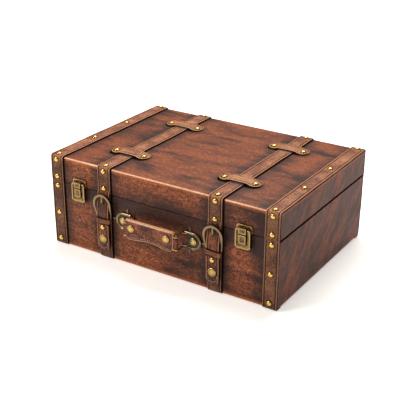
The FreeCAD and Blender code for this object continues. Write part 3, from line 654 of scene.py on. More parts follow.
# The grip's bright edge colour also paints the highlight along its roll.
grip_leather = strap_finish("grip_leather", "3c2019", "7e432d", "b46a42", "eca66e", polish=0.8)
brown_thread = thread_finish("brown_thread", "1c0f0b")
pale_thread = thread_finish("pale_thread", "c2b5a4")
print("leathers", strap_leather.name, keeper_leather.name, tail_leather.name, grip_leather.name)

# %% [markdown]
# Metals
#
# The studs are polished brass, and the rivets and caps a duller one. Buckles, latches and handle plates are
# brass and bronze whose raised parts were buffed bright over a dark patina. Rings and pins are plain brass
# wire, and the nails are dull steel. One even colour looks like foil, so patina and buffed metal are mixed
# through a stain, and the same number for wear and painted shade says where a fitting was buffed.

# %% Metal finishes
def metal_finish(name, patina, buffed, rough_low, rough_high):
    """Metal that is dark and rough where worn is low, buffed where it is high, stained and scratched."""
    finish = Finish(name)
    stain = finish.noise(160.0, 4.0, 0.65)
    scratch = finish.noise(90.0, 3.0, 0.6, 0.0, finish.stretched((1.0, 1.0, 14.0)))
    clean = finish.between(finish.wear_and_shade() + (stain - 0.5) * 0.7, 0.2, 0.8)
    colour = finish.blend(clean, paint(patina), paint(buffed))
    roughness = rough_high - (rough_high - rough_low) * clean + (scratch - 0.5) * 0.2
    return finish.show(Base_Color=colour, Metallic=1.0, Roughness=roughness,
                       Normal=finish.bump(stain * 0.6 + scratch * 0.4, 0.05, 0.4))


stud_brass = metal_finish("stud_brass", "5a4420", "deb25c", 0.24, 0.42)
rivet_brass = metal_finish("rivet_brass", "57432a", "bb9b5c", 0.28, 0.45)
buckle_brass = metal_finish("buckle_brass", "281d15", "7d684e", 0.24, 0.46)
antique_bronze = metal_finish("antique_bronze", "21170f", "9e8258", 0.34, 0.5)
plate_bronze = metal_finish("plate_bronze", "3e3c3b", "a08661", 0.34, 0.5)
ring_metal = metal_finish("ring_metal", "9a8454", "c0a468", 0.36, 0.45)
nail_steel = metal_finish("nail_steel", "3a3937", "6c6a66", 0.35, 0.55)
print("metals ready, from", stud_brass.name, "to", nail_steel.name)

# %% [markdown]
# Building by rings
#
# Nearly every leather and metal piece here is a row of rings joined by quads: a strap is its section carried
# along a path, a stud is a circle that shrinks as it rises, a stitch is a short bead. One function joins
# rings, and a Pile gathers such shapes, with their numbers for wear and painted shade, until they become one
# object.

# %% Rings and piles
def loft(rings, closed=False):
    """Points and quads of neighbouring rings; an open row of rings is capped at both ends."""
    rings = np.asarray(rings, float)
    count, sides = rings.shape[:2]
    faces = []
    for i in range(count if closed else count - 1):
        here = i * sides
        there = (i + 1) % count * sides
        for j in range(sides):
            k = (j + 1) % sides
            faces.append((here + j, here + k, there + k, there + j))
    if not closed:
        faces.append(tuple(range(sides)))
        faces.append(tuple(range((count - 1) * sides, count * sides)))
    return rings.reshape(-1, 3), faces


class Pile:
    """Shapes gathered for one object."""

    def __init__(self):
        self.points = []
        self.faces = []
        self.wear_and_shade = []
        self.count = 0

    def add(self, shape, wear_and_shade=0.0):
        points, faces = shape
        self.points.append(points)
        self.faces += [tuple(self.count + i for i in face) for face in faces]
        self.wear_and_shade.append(np.broadcast_to(np.asarray(wear_and_shade, float), len(points)))
        self.count += len(points)

    def piece(self, name, material, slot, sharp=50):
        """The object; edges that turn by more than sharp degrees stay crisp."""
        mesh = bpy.data.meshes.new(name)
        mesh.from_pydata((np.concatenate(self.points) * mm).tolist(), [], self.faces)
        work = bmesh.new()
        work.from_mesh(mesh)
        bmesh.ops.recalc_face_normals(work, faces=work.faces)
        work.to_mesh(mesh)
        work.free()
        wear_and_shade = mesh.attributes.new("wear_and_shade", "FLOAT", "POINT")
        wear_and_shade.data.foreach_set("value", np.concatenate(self.wear_and_shade))
        mesh.shade_smooth()
        mesh.set_sharp_from_angle(angle=math.radians(sharp))
        mesh.materials.append(material)
        made = bpy.data.objects.new(name, mesh)
        scene.collection.objects.link(made)
        return made


print("loft and pile ready")

# %% [markdown]
# Small curves
#
# A few curves and sums come up again and again: a circle, a squared-off circle for rods and loops, a soft
# step for ramps, and the length run along a line.

# %% Small curves
def circle(count):
    """Evenly spaced angles."""
    return np.linspace(0, 2 * math.pi, count, endpoint=False)


def squared(curve, power):
    """Sine or cosine pressed towards -1 and 1; the lower the power, the squarer the circle."""
    return np.sign(curve) * abs(curve) ** power


def ease(share):
    """Soft step from 0 to 1."""
    return share * share * (3 - 2 * share)


def unit(rows):
    """Each row made one long."""
    return rows / np.linalg.norm(rows, axis=1)[:, None]


def spread(x, y, z):
    """Points from three numbers or rows of numbers."""
    return np.stack(np.broadcast_arrays(x, y, z), axis=1)


def lengths(points):
    """Distance run along a line at each of its points."""
    return np.concatenate([[0], np.cumsum(np.linalg.norm(np.diff(points, axis=0), axis=1))])


print("a circle of", len(circle(6)), "angles to start with")

# %% [markdown]
# Bent paths
#
# Most pieces follow a line: round the corners of the case, over a bar, along a seam. Blender's own curves can
# carry a section along such a line, but here the section and its wear change on the way, so the points are
# worked out. A path is a line of corners in two dimensions with an arc at each one, and a place function puts
# it in space later. A nick close to each end gives the end's section something to turn on.

# %% Bent paths
arc_points = 8
end_nick = 0.7
path_step = 7.0


def bend(corners, radius, step=path_step):
    """Points and directions along a line of corners, every inner corner rounded by an arc."""
    corners = np.asarray(corners, float)
    points = [corners[0]]
    for i in range(1, len(corners) - 1):
        enter = corners[i] - corners[i - 1]
        leave = corners[i + 1] - corners[i]
        enter = enter / np.linalg.norm(enter)
        leave = leave / np.linalg.norm(leave)
        turn = math.atan2(enter[0] * leave[1] - enter[1] * leave[0], float(enter @ leave))
        side = np.array([-enter[1], enter[0]]) * math.copysign(1, turn)
        start = corners[i] - enter * radius * math.tan(abs(turn) / 2)
        for share in np.linspace(0, 1, arc_points):
            angle = abs(turn) * share
            points.append(start + radius * (math.sin(angle) * enter + (1 - math.cos(angle)) * side))
    points.append(corners[-1])
    for here, there in ((0, 1), (-1, -2)):
        along = points[there] - points[here]
        nick = points[here] + along * end_nick / np.linalg.norm(along)
        points.insert(1 if here == 0 else len(points) - 1, nick)
    full = [points[0]]
    for here, there in zip(points, points[1:]):
        pieces = max(1, math.ceil(np.linalg.norm(there - here) / step))
        full += [here + (there - here) * k / pieces for k in range(1, pieces + 1)]
    full = np.array(full)
    return full, unit(np.gradient(full, axis=0))


print("paths ready, arcs of", arc_points, "points")

# %% [markdown]
# The section of a strip
#
# A strap is a strip with rounded edges and a shallow groove for its stitches. A box with bevels would have no
# groove and no wear of its own, so the section is a short list of points with the wear of each: rubbed on the
# rounded edge, waxed in the groove, and dark on the side wall as painted shade.

# %% Strip section
groove_inset = 2.7
groove_depth = 0.35
groove_bed = 0.6
groove_mouth = 1.0
rub_limit = 1.4
edge_round = 0.7
edge_tuck = 0.25
shoulder_rise = 0.05
crown_rise = 0.12


def section(half, thick):
    """Across, rise and wear of a strip's section, from lower left over the face to lower right; side walls are
    painted shade.
    """
    wall = min(edge_round, thick / 3)
    narrow = min(1, half / (3 * groove_inset))
    # The first three rows are the side wall, dark as painted shade.
    rows = ((edge_tuck, 0.0, -1.0),
            (0.0, 0.35 * thick, -1.0),
            (0.0, thick - wall, -0.6),
            (0.3 * wall, thick - 0.3 * wall, 0.8),
            (wall, thick, 1.0),
            (groove_inset - rub_limit, thick, 0.8),
            (groove_inset - groove_mouth, thick, 0.1),
            (groove_inset - groove_bed, thick - groove_depth, -0.7),
            (groove_inset + groove_bed, thick - groove_depth, -0.7),
            (groove_inset + groove_mouth, thick, 0.0),
            (2.2 * groove_inset, thick + shoulder_rise, 0.0))
    left = np.array([(inset * narrow - half, rise, wear) for inset, rise, wear in rows])
    middle = np.array([(side * 0.25 * half, thick + crown_rise, 0.0) for side in (-1, 1)])
    return np.concatenate([left, middle, left[::-1] * (-1, 1, 1)])


print("section of", len(section(strap_width / 2, strap_thickness)), "points")

# %% [markdown]
# Bent strips
#
# The section is carried along a path, square to it. A slow wander in place and thickness keeps a strip from
# looking machine-made, and its cut ends are as worn as its edges.

# %% Strips
strip_seed = 100
drift_waves = ((0.18, 23), (0.1, 7.5))
swell_waves = ((0.05, 17), (0.03, 5))


def waves(rows, run, phases):
    """Sum of slow waves, each given by its size and its length."""
    return sum(size * math.sin(run / length + phase) for (size, length), phase in zip(rows, phases))


def outer_ways(ways):
    """Directions square to a path's own, on its outer side."""
    return np.stack([-ways[:, 1], ways[:, 0]], axis=1)


def strip(pile, path, width, thick, place, seed=0, wander=1.0, ceiling=1.0):
    """A strip along a path; width, thick and the ceiling of its wear are numbers or one number per point, and
    place puts (a, b, across) in space."""
    points, ways = path
    run = lengths(points)
    width, thick, ceiling = (np.broadcast_to(value, len(points)) for value in (width, thick, ceiling))
    phases = np.random.default_rng(seed + strip_seed).uniform(0, 2 * math.pi, 4)
    rings = []
    wear = []
    for i, (point, out) in enumerate(zip(points, outer_ways(ways))):
        rows = section(width[i] / 2, thick[i])
        drift = wander * waves(drift_waves, run[i], phases[:2])
        swell = 1 + wander * waves(swell_waves, run[i], phases[2:])
        spot = point + out * (rows[:, 1:2] * swell)
        rings.append(place(spot[:, 0], spot[:, 1], rows[:, 0] + drift))
        wear.append(np.minimum(rows[:, 2], ceiling[i]))
    wear[0] = wear[-1] = np.ones_like(wear[0])
    pile.add(loft(rings), np.concatenate(wear))


print("strips ready, wandering by up to", sum(size for size, _ in drift_waves))

# %% [markdown]
# Stitches
#
# A row of stitches is what makes a strap read as leather. They could be painted as dashes, but at this size
# each can be real: a short bead of thread whose two ends dip into the leather, so that it catches the light.
# They are set at an even pitch along a line, so the last one always ends where the seam does.

# %% Stitches
thread_sides = 6
thread_seat = 0.12
bead = ((-0.5, 0.4, 1.0), (-0.28, 1.0, 0.0), (0.28, 1.0, 0.0), (0.5, 0.4, 1.0))
strap_stitch = {"pitch": 4.6, "length": 3.0, "radius": 0.6}


def stitch(centre, along, out, length, radius):
    """One stitch: a short bead whose ends dip into the leather."""
    side = np.cross(along, out)
    rings = []
    for step, girth, dip in bead:
        middle = centre + along * length * step - out * radius * dip
        rings.append([middle + girth * radius * (math.cos(a) * side + math.sin(a) * out)
                      for a in circle(thread_sides)])
    return loft(rings)


def sew(pile, line, outs, pitch, length, radius):
    """Stitches at an even pitch along a line; outs is one outward direction, or one for each point."""
    outs = np.broadcast_to(outs, line.shape)
    run = lengths(line)
    count = max(1, int(run[-1] / pitch))
    for mark in (np.arange(count) + 0.5) * run[-1] / count:
        i = min(int(np.searchsorted(run, mark, side="right")), len(run) - 1)
        share = (mark - run[i - 1]) / (run[i] - run[i - 1])
        centre = line[i - 1] + (line[i] - line[i - 1]) * share
        along = (line[i] - line[i - 1]) / np.linalg.norm(line[i] - line[i - 1])
        out = outs[i - 1] + (outs[i] - outs[i - 1]) * share
        out = out - along * (out @ along)
        pile.add(stitch(centre, along, out / np.linalg.norm(out), length, radius))


def edge_seams(pile, path, width, thick, place):
    """Two rows of stitches in the grooves of a strip."""
    points, ways = path
    outs = outer_ways(ways)
    seat = points + outs * (thick - groove_depth + thread_seat)
    far = points + outs * (thick + 1)
    for side in (-1, 1):
        across = np.full(len(points), side * (width / 2 - groove_inset))
        line = place(seat[:, 0], seat[:, 1], across)
        tips = place(far[:, 0], far[:, 1], across)
        sew(pile, line, tips - line, **strap_stitch)


print("stitches ready, one each", strap_stitch["pitch"])

# %% [markdown]
# Straps and edge bands
#
# Two straps and two edge bands run up the front, over the lid and down the back. They are cut at the seam, so
# the lid has one strip per strap and the base has two, each turned under the case for a finger's breadth.

# %% Straps and bands
foot_length = 12.0
foot_thickness = 1.2
foot_blend = 3
fold_radius = 2.0
sewn_from = 6
lid_path = bend([(front_face, lid_rim), (front_face, lid_top), (half_depth, lid_top), (half_depth, lid_rim)],
                fold_radius)
base_path = bend([(front_face + foot_length, base_floor), (front_face, base_floor), (front_face, base_rim)],
                 fold_radius)


def at_x(x):
    """Place function for a path in the plane of y and z."""
    return lambda a, b, across: spread(x + across, a, b)


def mirrored(place):
    """The same place at the back of the case."""
    return lambda a, b, across: place(-a, b, across)


def make_straps():
    points, ways = base_path
    sewn_path = (points[sewn_from:], ways[sewn_from:])
    base_thick = np.interp(lengths(points), [foot_length - foot_blend, foot_length + foot_blend],
                           [foot_thickness, strap_thickness])
    for side, name in SIDES:
        for kind, x, width in (("strap", strap_x, strap_width), ("edge_band", band_x, band_width)):
            place = at_x(side * x)
            seed = int(x) + 7 * (side + 1)
            over = Pile()
            strip(over, lid_path, width, strap_thickness, place, seed)
            node = "lid_%s_%s" % (kind, name)
            piece = over.piece(node + "_leather", strap_leather, "strap_leather")
            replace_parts(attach(piece, "lid"), node)
            seams = Pile()
            edge_seams(seams, lid_path, width, strap_thickness, place)
            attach(seams.piece(node + "_seams", brown_thread, "strap_leather"), "lid")

            under = Pile()
            seams = Pile()
            for facing in (place, mirrored(place)):
                strip(under, base_path, width, base_thick, facing, seed + 3)
                edge_seams(seams, sewn_path, width, strap_thickness, facing)
            node = "base_%s_%s" % (kind, name)
            piece = under.piece(node + "_leather", strap_leather, "strap_leather")
            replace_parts(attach(piece, "base"), node)
            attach(seams.piece(node + "_seams", brown_thread, "strap_leather"), "base")


make_straps()
print("straps", round(strap_width, 1), "wide and bands", round(band_width, 1), "wide made")

# %% [markdown]
# Where the heads are
#
# The model's node holds each stud, nail or rivet as a solid of its own. Their places could be typed in, but
# would be wrong when the model changes, so they are found by walking over the node's mesh and taking the box
# of each separate solid. Heads face the front or the back, except the studs on the lid's top, whose boxes are
# low.

# %% Separate solids
weld = 0.001


def solids(node):
    """Boxes of the separate solids in a node."""
    work = bmesh.new()
    work.from_mesh(nodes[node].data)
    bmesh.ops.remove_doubles(work, verts=work.verts, dist=weld * mm)
    left = set(work.verts)
    boxes = []
    while left:
        reached = [left.pop()]
        for vertex in reached:
            for link in vertex.link_edges:
                other = link.other_vert(vertex)
                if other in left:
                    left.discard(other)
                    reached.append(other)
        places = np.array([v.co for v in reached]) / mm
        boxes.append((places.min(0), places.max(0)))
    work.free()
    return sorted(boxes, key=lambda box: tuple(np.round(box[0] + box[1], 2)))


def heads(node, on_top):
    """Tip, outward direction, radius and whole length of each head in a node."""
    found = []
    for low, high in solids(node):
        axis = 2 if on_top and high[2] - low[2] < high[1] - low[1] else 1
        middle = (low + high) / 2
        out = np.zeros(3)
        out[axis] = 1.0 if axis == 2 or middle[1] > 0 else -1.0
        length = high[axis] - low[axis]
        radius = float(np.delete(high - low, axis).max()) / 2
        found.append((middle + out * length / 2, out, radius, length))
    return found


print("studs", len(solids("lid_studs")) + len(solids("base_studs")))

# %% [markdown]
# Turned profiles
#
# Every head on the case is turned on its axis, so a profile spun round does for all of them, and each ring of
# the profile has its own wear. Studs and nails are domes on a thin flange, rivets and press studs are low
# caps with a rolled rim.

# %% Turned profiles
head_sides = 28
flange_edge = 0.28
flange_top = 0.45
dome_seat = 0.42
point_share = 0.02
cap_rows = ((1.0, 1.0, 0.1), (1.0, 0.55, 0.6), (0.95, 0.3, 0.9), (0.86, 0.16, 0.8), (0.78, 0.2, 0.35),
            (0.66, 0.12, 0.5), (0.4, 0.03, 0.75), (point_share, 0.0, 0.85))


def turned(profile, tip, out, count=head_sides):
    """Profile of (radius, depth below the tip) pairs, from the seat up, spun round the outward direction."""
    first = np.array([0.0, 0.0, 1.0]) if abs(out[2]) < 0.5 else np.array([1.0, 0.0, 0.0])
    second = np.cross(out, first)
    angles = circle(count)
    ring = np.cos(angles)[:, None] * first + np.sin(angles)[:, None] * second
    return loft([tip - out * depth + ring * radius for radius, depth in profile])


def dome_profile(radius, height):
    """Thin flange, then a dome, with the wear of each ring."""
    crown = 0.9 * radius
    rows = [(radius, height, 0.0), (radius, height - flange_edge, 0.3),
            (0.96 * radius, height - flange_top, 0.2), (crown, height - dome_seat, 0.0)]
    for angle in np.linspace(0.12, 1.0, 8) * math.pi / 2:
        rise = (height - dome_seat) * math.sin(angle)
        rows.append((crown * max(math.cos(angle), point_share), height - dome_seat - rise,
                     0.35 + 0.65 * math.sin(angle)))
    return rows


def cap_profile(radius, height):
    """Low cap: a rolled rim, a shallow ring and a slightly domed face."""
    return [(share * radius, depth * height, wear) for share, depth, wear in cap_rows]


print("profiles of", len(dome_profile(1.0, 1.0)), "and", len(cap_rows), "rings")

# %% [markdown]
# Studs, rivets and nails
#
# A hammered stud never stands quite straight, so each leans a little. A thin dark ring round it on the leather
# is painted shadow. Copies of one stud would all catch the light alike, so each head is a shape of its own in
# one mesh.

# %% Heads
stud_tilt = 0.02
# Width of the painted shadow ring round each head.
stud_shadow_ring = 0.6
shadow_ring_sink = 0.25
shadow_ring_slope = 0.2
rivet_height = 1.8


def make_heads(name, node, body, material, slot, profile, height=None, tilt=0.0, shadow_ring=0.0):
    """Heads of a node; the height is given where the node also holds the shank behind the head. The last
    argument is the width of a dark ring of painted shadow round each head on the leather."""
    pile = Pile()
    rings = Pile()
    drift = np.random.default_rng(len(node))
    for tip, out, radius, length in heads(node, node == "lid_studs"):
        seat = height or length
        rows = profile(radius, seat)
        lean = out + drift.normal(0, tilt, 3)
        lean = lean / np.linalg.norm(lean)
        shape = turned([row[:2] for row in rows], tip, lean)
        pile.add(shape, np.repeat([row[2] for row in rows], head_sides))
        # Painted shadow: a dark ring round the head on the leather.
        if shadow_ring:
            reach = radius + shadow_ring
            ring = [(reach, seat), (reach - shadow_ring_slope, seat - shadow_ring_sink), (0.5 * radius, seat - shadow_ring_sink)]
            rings.add(turned(ring, tip, out), -1.0)
    piece = pile.piece(name, material, slot)
    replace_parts(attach(piece, body), node)
    if shadow_ring:
        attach(rings.piece(name + "_shadow_rings", strap_leather, "strap_leather"), body)


for body in ("lid", "base"):
    make_heads(body + "_stud_heads", body + "_studs", body, stud_brass, "stud_brass", dome_profile,
               tilt=stud_tilt, shadow_ring=stud_shadow_ring)
for body in ("lid", "base"):
    make_heads(body + "_nail_heads", body + "_nails", body, nail_steel, "nail_steel", dome_profile)
make_heads("plate_rivet_heads", "plate_rivets", "base", rivet_brass, "rivet_brass", cap_profile, rivet_height)
print("studs, nails and plate rivets made")

# %% [markdown]
# Keepers on the lid
#
# Four leather tabs bridge the straps and hold them down on the lid. Each has round ends and a slight waist,
# lies flat at its ends and climbs over the strap in the middle. It is a strip again, whose path drapes over
# the strap and whose width follows the outline, so its edges and stitches come out like the straps' own. The
# photograph shows the tabs a little wider and further back than the model's, so they are spread and shifted
# here.

# %% Keepers
keeper_dip = 0.6
keeper_set_back = 2.8
keeper_spread = 1.12
keeper_slope = 11.0
keeper_clear = 0.6
keeper_thickness = 2.0
keeper_seed = 400
stations = 91
tip_share = 0.999
tip_floor = 0.05
upward = np.array([0.0, 0.0, 1.0])
keeper_stitch = {"pitch": 4.2, "length": 2.8, "radius": 0.6}


def keeper_half_width(along, inset=0.0):
    """Half width of a keeper: round at each end, and a slight waist between the ends."""
    along = abs(along)
    straight = keeper_half - keeper_lobe
    if along > straight:
        lobe = keeper_lobe - inset
        bow = math.sqrt(max(lobe ** 2 - (along - straight) ** 2, tip_floor)) / lobe
        return bow * (keeper_spread * keeper_lobe - inset)
    return keeper_spread * keeper_lobe - keeper_dip * (1 - (along / straight) ** 2) - inset


def make_keepers():
    along = keeper_half * np.sin(np.linspace(-0.5, 0.5, stations) * math.pi) * tip_share
    flat = strap_width / 2 + keeper_clear
    climb = np.clip((flat + keeper_slope - abs(along)) / keeper_slope, 0, 1)
    height = lid_top + strap_thickness * ease(climb)
    points = np.stack([along, height], axis=1)
    path = (points, unit(np.gradient(points, axis=0)))
    half = np.array([keeper_half_width(a) for a in along])
    border = along[abs(along) < keeper_half - groove_inset]
    top = np.interp(border, along, height) + keeper_thickness - groove_depth + thread_seat
    inner = np.array([keeper_half_width(a, groove_inset) for a in border])
    for _, name in SIDES:
        tabs = Pile()
        seams = Pile()
        node = "top_keepers_" + name
        for low, high in solids(node):
            middle = (low + high) / 2
            centre_y = middle[1] + keeper_set_back

            def place(a, b, across):
                return spread(middle[0] + a, centre_y + across, b)

            seed = int(middle[0] + middle[1]) + keeper_seed
            strip(tabs, path, 2 * half, keeper_thickness, place, seed, wander=0.0)
            for turn in (-1, 1):
                line = spread(middle[0] + border, centre_y + turn * inner, top)
                sew(seams, line, upward, **keeper_stitch)
        piece = tabs.piece(node + "_leather", keeper_leather, "keeper_leather")
        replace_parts(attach(piece, "lid"), node)
        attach(seams.piece(node + "_seams", brown_thread, "keeper_leather"), "lid")


make_keepers()
print("keepers made,", round(2 * keeper_half, 1), "long")

# %% [markdown]
# The line of a tail
#
# A tail hangs from each lid strap, runs behind the buckle's arch and over its bar, and ends in a rounded tip.
# Seen from the side it starts flat on the strap, ramps outwards and hangs straight. Its width and thickness
# are given by the distance from the tip.

# %% Tail line
tail_width = tail_high[0] - tail_low[0]
tail_thickness = 3.0
tip_thickness = 2.2
root_thickness = 2.0
root_feather = 0.5
root_gap = 0.3
root_lap = 2.6
ramp_drop = 4.5
ramp_length = 20.0
ramp_radius = 22.0
tail_step = 1.0
tail_front = front_face - tail_low[1]
tail_back = tail_front - tail_thickness
root_back = strap_thickness + root_gap
ramp_top = seam_z - ramp_drop
ramp_low = ramp_top - ramp_length
root_top = tail_high[2] + root_lap
tip_round = 9.0
tip_flat = 0.34
tip_power = 2.4
tip_bevel = 1.5
feather_length = 5
tail_path = bend([(front_face - tail_back, tail_end), (front_face - tail_back, ramp_low),
                  (front_face - root_back, ramp_top), (front_face - root_back, root_top)],
                 ramp_radius, tail_step)


def tail_shape(run, total):
    """Width and thickness of a tail at distances from its tip."""
    share = np.clip(1 - run / tip_round, 0, 1)
    bow = (1 - share ** tip_power) ** (1 / tip_power)
    width = tail_width * (tip_flat + (1 - tip_flat) * bow)
    marks = [0, tip_bevel, 0.6 * total, 0.8 * total, total - feather_length, total]
    sizes = [tip_thickness, tail_thickness, tail_thickness, root_thickness, root_thickness, root_feather]
    return width, np.interp(run, marks, sizes)


print("tails", round(tail_width, 2), "wide,", round(root_top - tail_end, 1), "long")

# %% [markdown]
# Tail straps
#
# The root of a tail stays on the lid while the rest lifts. A bone could bend it, but here the leather is one
# mesh fixed in place, and only its seam rides with the tail. A pale seam runs round the tip, and painted shadow
# darkens the tail where it enters and leaves its keeper loop.

# %% Tail straps
mouth_set = 0.5
mouth_shade = 1.3
sewn_length = 11.0
seam_margin = 2.6
seam_points = 40
seam_square = 0.7
seam_proud = 0.1
tail_seed = 31
outward = np.array([0.0, -1.0, 0.0])
tail_stitch = {"pitch": 2.4, "length": 1.9, "radius": 0.35}


def make_tail_straps():
    levels = tail_path[0][:, 1]
    run = lengths(tail_path[0])
    width, thick = tail_shape(run, run[-1])
    angles = np.linspace(math.pi, 2 * math.pi, seam_points)
    seam_x = (tail_width / 2 - seam_margin) * squared(np.cos(angles), seam_square)
    seam_rise = sewn_length * (1 - abs(np.sin(angles)) ** seam_square)
    for side, name in SIDES:
        x = side * strap_x
        leather = Pile()
        loop_low, loop_high = span("tail_keeper_" + name)
        mouth = np.minimum(abs(levels - loop_high[2] - mouth_set), abs(levels - loop_low[2] + mouth_set))
        # Painted shadow: the tail is dark just above and just below its keeper loop.
        ceiling = np.where(mouth < mouth_shade, -1.0, 1.0)
        strip(leather, tail_path, width, thick, at_x(x), tail_seed + side, ceiling=ceiling)
        node = "tail_strap_" + name
        piece = leather.piece(node + "_leather", tail_leather, "strap_leather")
        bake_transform(piece)
        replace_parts(piece, node)

        seams = Pile()
        line = spread(x + seam_x, front_face - tail_front - seam_proud, tail_end + seam_margin + seam_rise)
        sew(seams, line, outward, **tail_stitch)
        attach(seams.piece(node + "_seams", pale_thread, "strap_leather"), "tail_" + name)


make_tail_straps()
print("tail straps made")

# %% [markdown]
# Rods
#
# Buckles, prongs, bars and loops are all rods with a squared-off round section. A curve with a bevel would
# keep one section all along, while a rod's two half sizes may change on the way. It also tells how far each
# point lies towards its outer side, which the wear below is made from.

# %% Rods
def rod(centres, wide, deep, across, out, sides, square=0.7, closed=False):
    """Rod along centres; half sizes wide and deep lie along the unit vectors across and out. With it comes how
    far each point lies towards out, from -1 to 1."""
    count = len(centres)
    curve_a = squared(np.cos(circle(sides)), square)
    curve_b = squared(np.sin(circle(sides)), square)
    wide = np.broadcast_to(wide, count)[:, None, None]
    deep = np.broadcast_to(deep, count)[:, None, None]
    across = np.broadcast_to(across, (count, 3))[:, None, :]
    out = np.broadcast_to(out, (count, 3))[:, None, :]
    rings = (np.asarray(centres)[:, None, :] + across * wide * curve_a[None, :, None]
             + out * deep * curve_b[None, :, None])
    return loft(rings, closed), np.tile(curve_b, count)


print("rods ready")

# %% [markdown]
# The line of a buckle
#
# The buckle is a cast horseshoe: a heavy arch that thins into two legs, which draw in and end in feet on the
# bar. Half a ring with two straight legs would do from afar, but close to, the change of width and of
# stand-off is what makes it look cast. The left leg is mirrored for the right.

# %% Buckle line
chape_low, chape_high = span("tail_chape_right")
bar_loop = (chape_high[1] - chape_low[1]) / 2
bar_proud = front_face - chape_low[1] - bar_loop
bar_z = chape_high[2] - bar_loop
buckle_rim = 5.8
buckle_side = 5.2
buckle_leg = 3.2
buckle_thickness = 3.4
arch_proud = front_face - span("buckle_frame_right")[0][1] - buckle_thickness / 2
arch_power = 1.5
arch_stations = 41
leg_stations = 12
leg_bow = 0.8
foot_gap = 0.3
foot_flare = 0.5
flare_fall = 8


def buckle_line(low, high):
    """Centres, half widths and outer side directions of a horseshoe, from the left foot to the right."""
    half = (high[0] - low[0]) / 2
    x = (high[0] + low[0]) / 2
    spring = high[2] - half
    foot = tail_width / 2 + foot_gap + buckle_leg / 2
    left_leg = []
    for z in np.linspace(low[2], spring, leg_stations)[:-1]:
        share = (z - low[2]) / (spring - low[2])
        flare = foot_flare * math.exp(-flare_fall * share)
        wide = (buckle_leg + (buckle_side - buckle_leg) * share) / 2 + flare
        middle = foot + (half - buckle_side / 2 - foot) * share + leg_bow * math.sin(math.pi * share)
        left_leg.append((-middle, z, bar_proud + (arch_proud - bar_proud) * ease(share), wide))
    arch = []
    for angle in np.linspace(math.pi, 0, arch_stations):
        wide = (buckle_side + (buckle_rim - buckle_side) * math.sin(angle) ** arch_power) / 2
        radius = half - wide
        arch.append((radius * math.cos(angle), spring + radius * math.sin(angle), arch_proud, wide))
    right_leg = [(-a, z, proud, wide) for a, z, proud, wide in reversed(left_leg)]
    rows = np.array(left_leg + arch + right_leg)
    ways = unit(np.gradient(rows[:, :2], axis=0))
    centres = spread(x + rows[:, 0], front_face - rows[:, 2], rows[:, 1])
    return centres, rows[:, 3], spread(-ways[:, 1], 0.0, ways[:, 0])


print("arch stands", round(arch_proud, 1), "off the case, bars at", round(bar_z, 1))

# %% [markdown]
# Buckle frames
#
# A rod follows the horseshoe and a thin bar joins its feet. The crown is buffed bright, and the outer side is
# pushed back to patina as painted shade.

# %% Buckle frames
bar_radius = 0.9
bar_sides = 12
bar_overhang = 1.5
bar_wear = 0.3
frame_sides = 20
frame_square = 0.85
rod_sharp = 60


def make_frames():
    half_bar = tail_width / 2 + bar_overhang
    for side, name in SIDES:
        node = "buckle_frame_" + name
        metal = Pile()
        centres, wide, across = buckle_line(*span(node))
        shape, rise = rod(centres, wide, buckle_thickness / 2, across, outward, frame_sides, frame_square)
        outer = np.maximum(np.tile(np.cos(circle(frame_sides)), len(centres)), 0)
        # The crown is buffed; the outer side is pushed back to patina as painted shade.
        metal.add(shape, np.clip(1.6 * rise - 0.5 - 0.7 * outer, 0, 0.9))
        ends = side * strap_x + np.array([-half_bar, half_bar])
        bar = spread(ends, front_face - bar_proud, bar_z)
        metal.add(rod(bar, bar_radius, bar_radius, upward, outward, bar_sides, 1.0)[0], bar_wear)
        piece = metal.piece(node + "_metal", buckle_brass, "buckle_brass", rod_sharp)
        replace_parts(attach(piece, "tail_" + name), node)


make_frames()
print("buckle frames made")

# %% [markdown]
# Prongs
#
# A prong turns on the bar, goes up behind the tail, comes out through the tail's hole and rests on the arch.
# A straight rod would cut through the leather, so it follows a path with two bends, and it tapers to its tip.

# %% Prongs
hole_z = (ramp_top + ramp_low) / 2
prong_thickness = 1.4
prong_half = 1.45
prong_taper = 0.45
prong_gap = 1.3
prong_below_hole = 4.5
prong_above_hole = 2.5
prong_radius = 2.6
prong_step = 1.5
prong_sides = 12


def make_prongs():
    for side, name in SIDES:
        node = "buckle_prong_" + name
        low, high = span(node)
        prong = Pile()
        behind = front_face - strap_thickness - prong_gap
        before = low[1] + prong_thickness / 2
        corners = [(behind, bar_z), (behind, hole_z - prong_below_hole), (before, hole_z + prong_above_hole),
                   (before, high[2])]
        points, ways = bend(corners, prong_radius, prong_step)
        share = lengths(points) / lengths(points)[-1]
        line = spread(side * strap_x, points[:, 0], points[:, 1])
        outs = spread(0.0, -ways[:, 1], ways[:, 0])
        shape, rise = rod(line, prong_half - prong_taper * share ** 3, prong_thickness / 2, (1, 0, 0), outs,
                          prong_sides)
        prong.add(shape, 0.5 + 0.4 * rise)
        piece = prong.piece(node + "_metal", buckle_brass, "buckle_brass", rod_sharp)
        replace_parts(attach(piece, "tail_" + name), node)


make_prongs()
print("prongs made, holes at", round(hole_z, 1))

# %% [markdown]
# Keeper loops of the tails
#
# Just under the buckle's bar a leather loop goes round the tail. A bent strip would need a joint somewhere,
# so it is a closed row of rings round a squared-off oval. On the real case the loops have been pulled about,
# so each is tilted by its own angle and its upper edge flares.

# %% Keeper loops
loop_thickness = 1.2
loop_tilt = {"left": -0.03, "right": 0.12}
loop_flare = 2.2
loop_stations = 72
loop_sides = 24
loop_square = 0.22
loop_edge_square = 0.35
far_share = 0.93


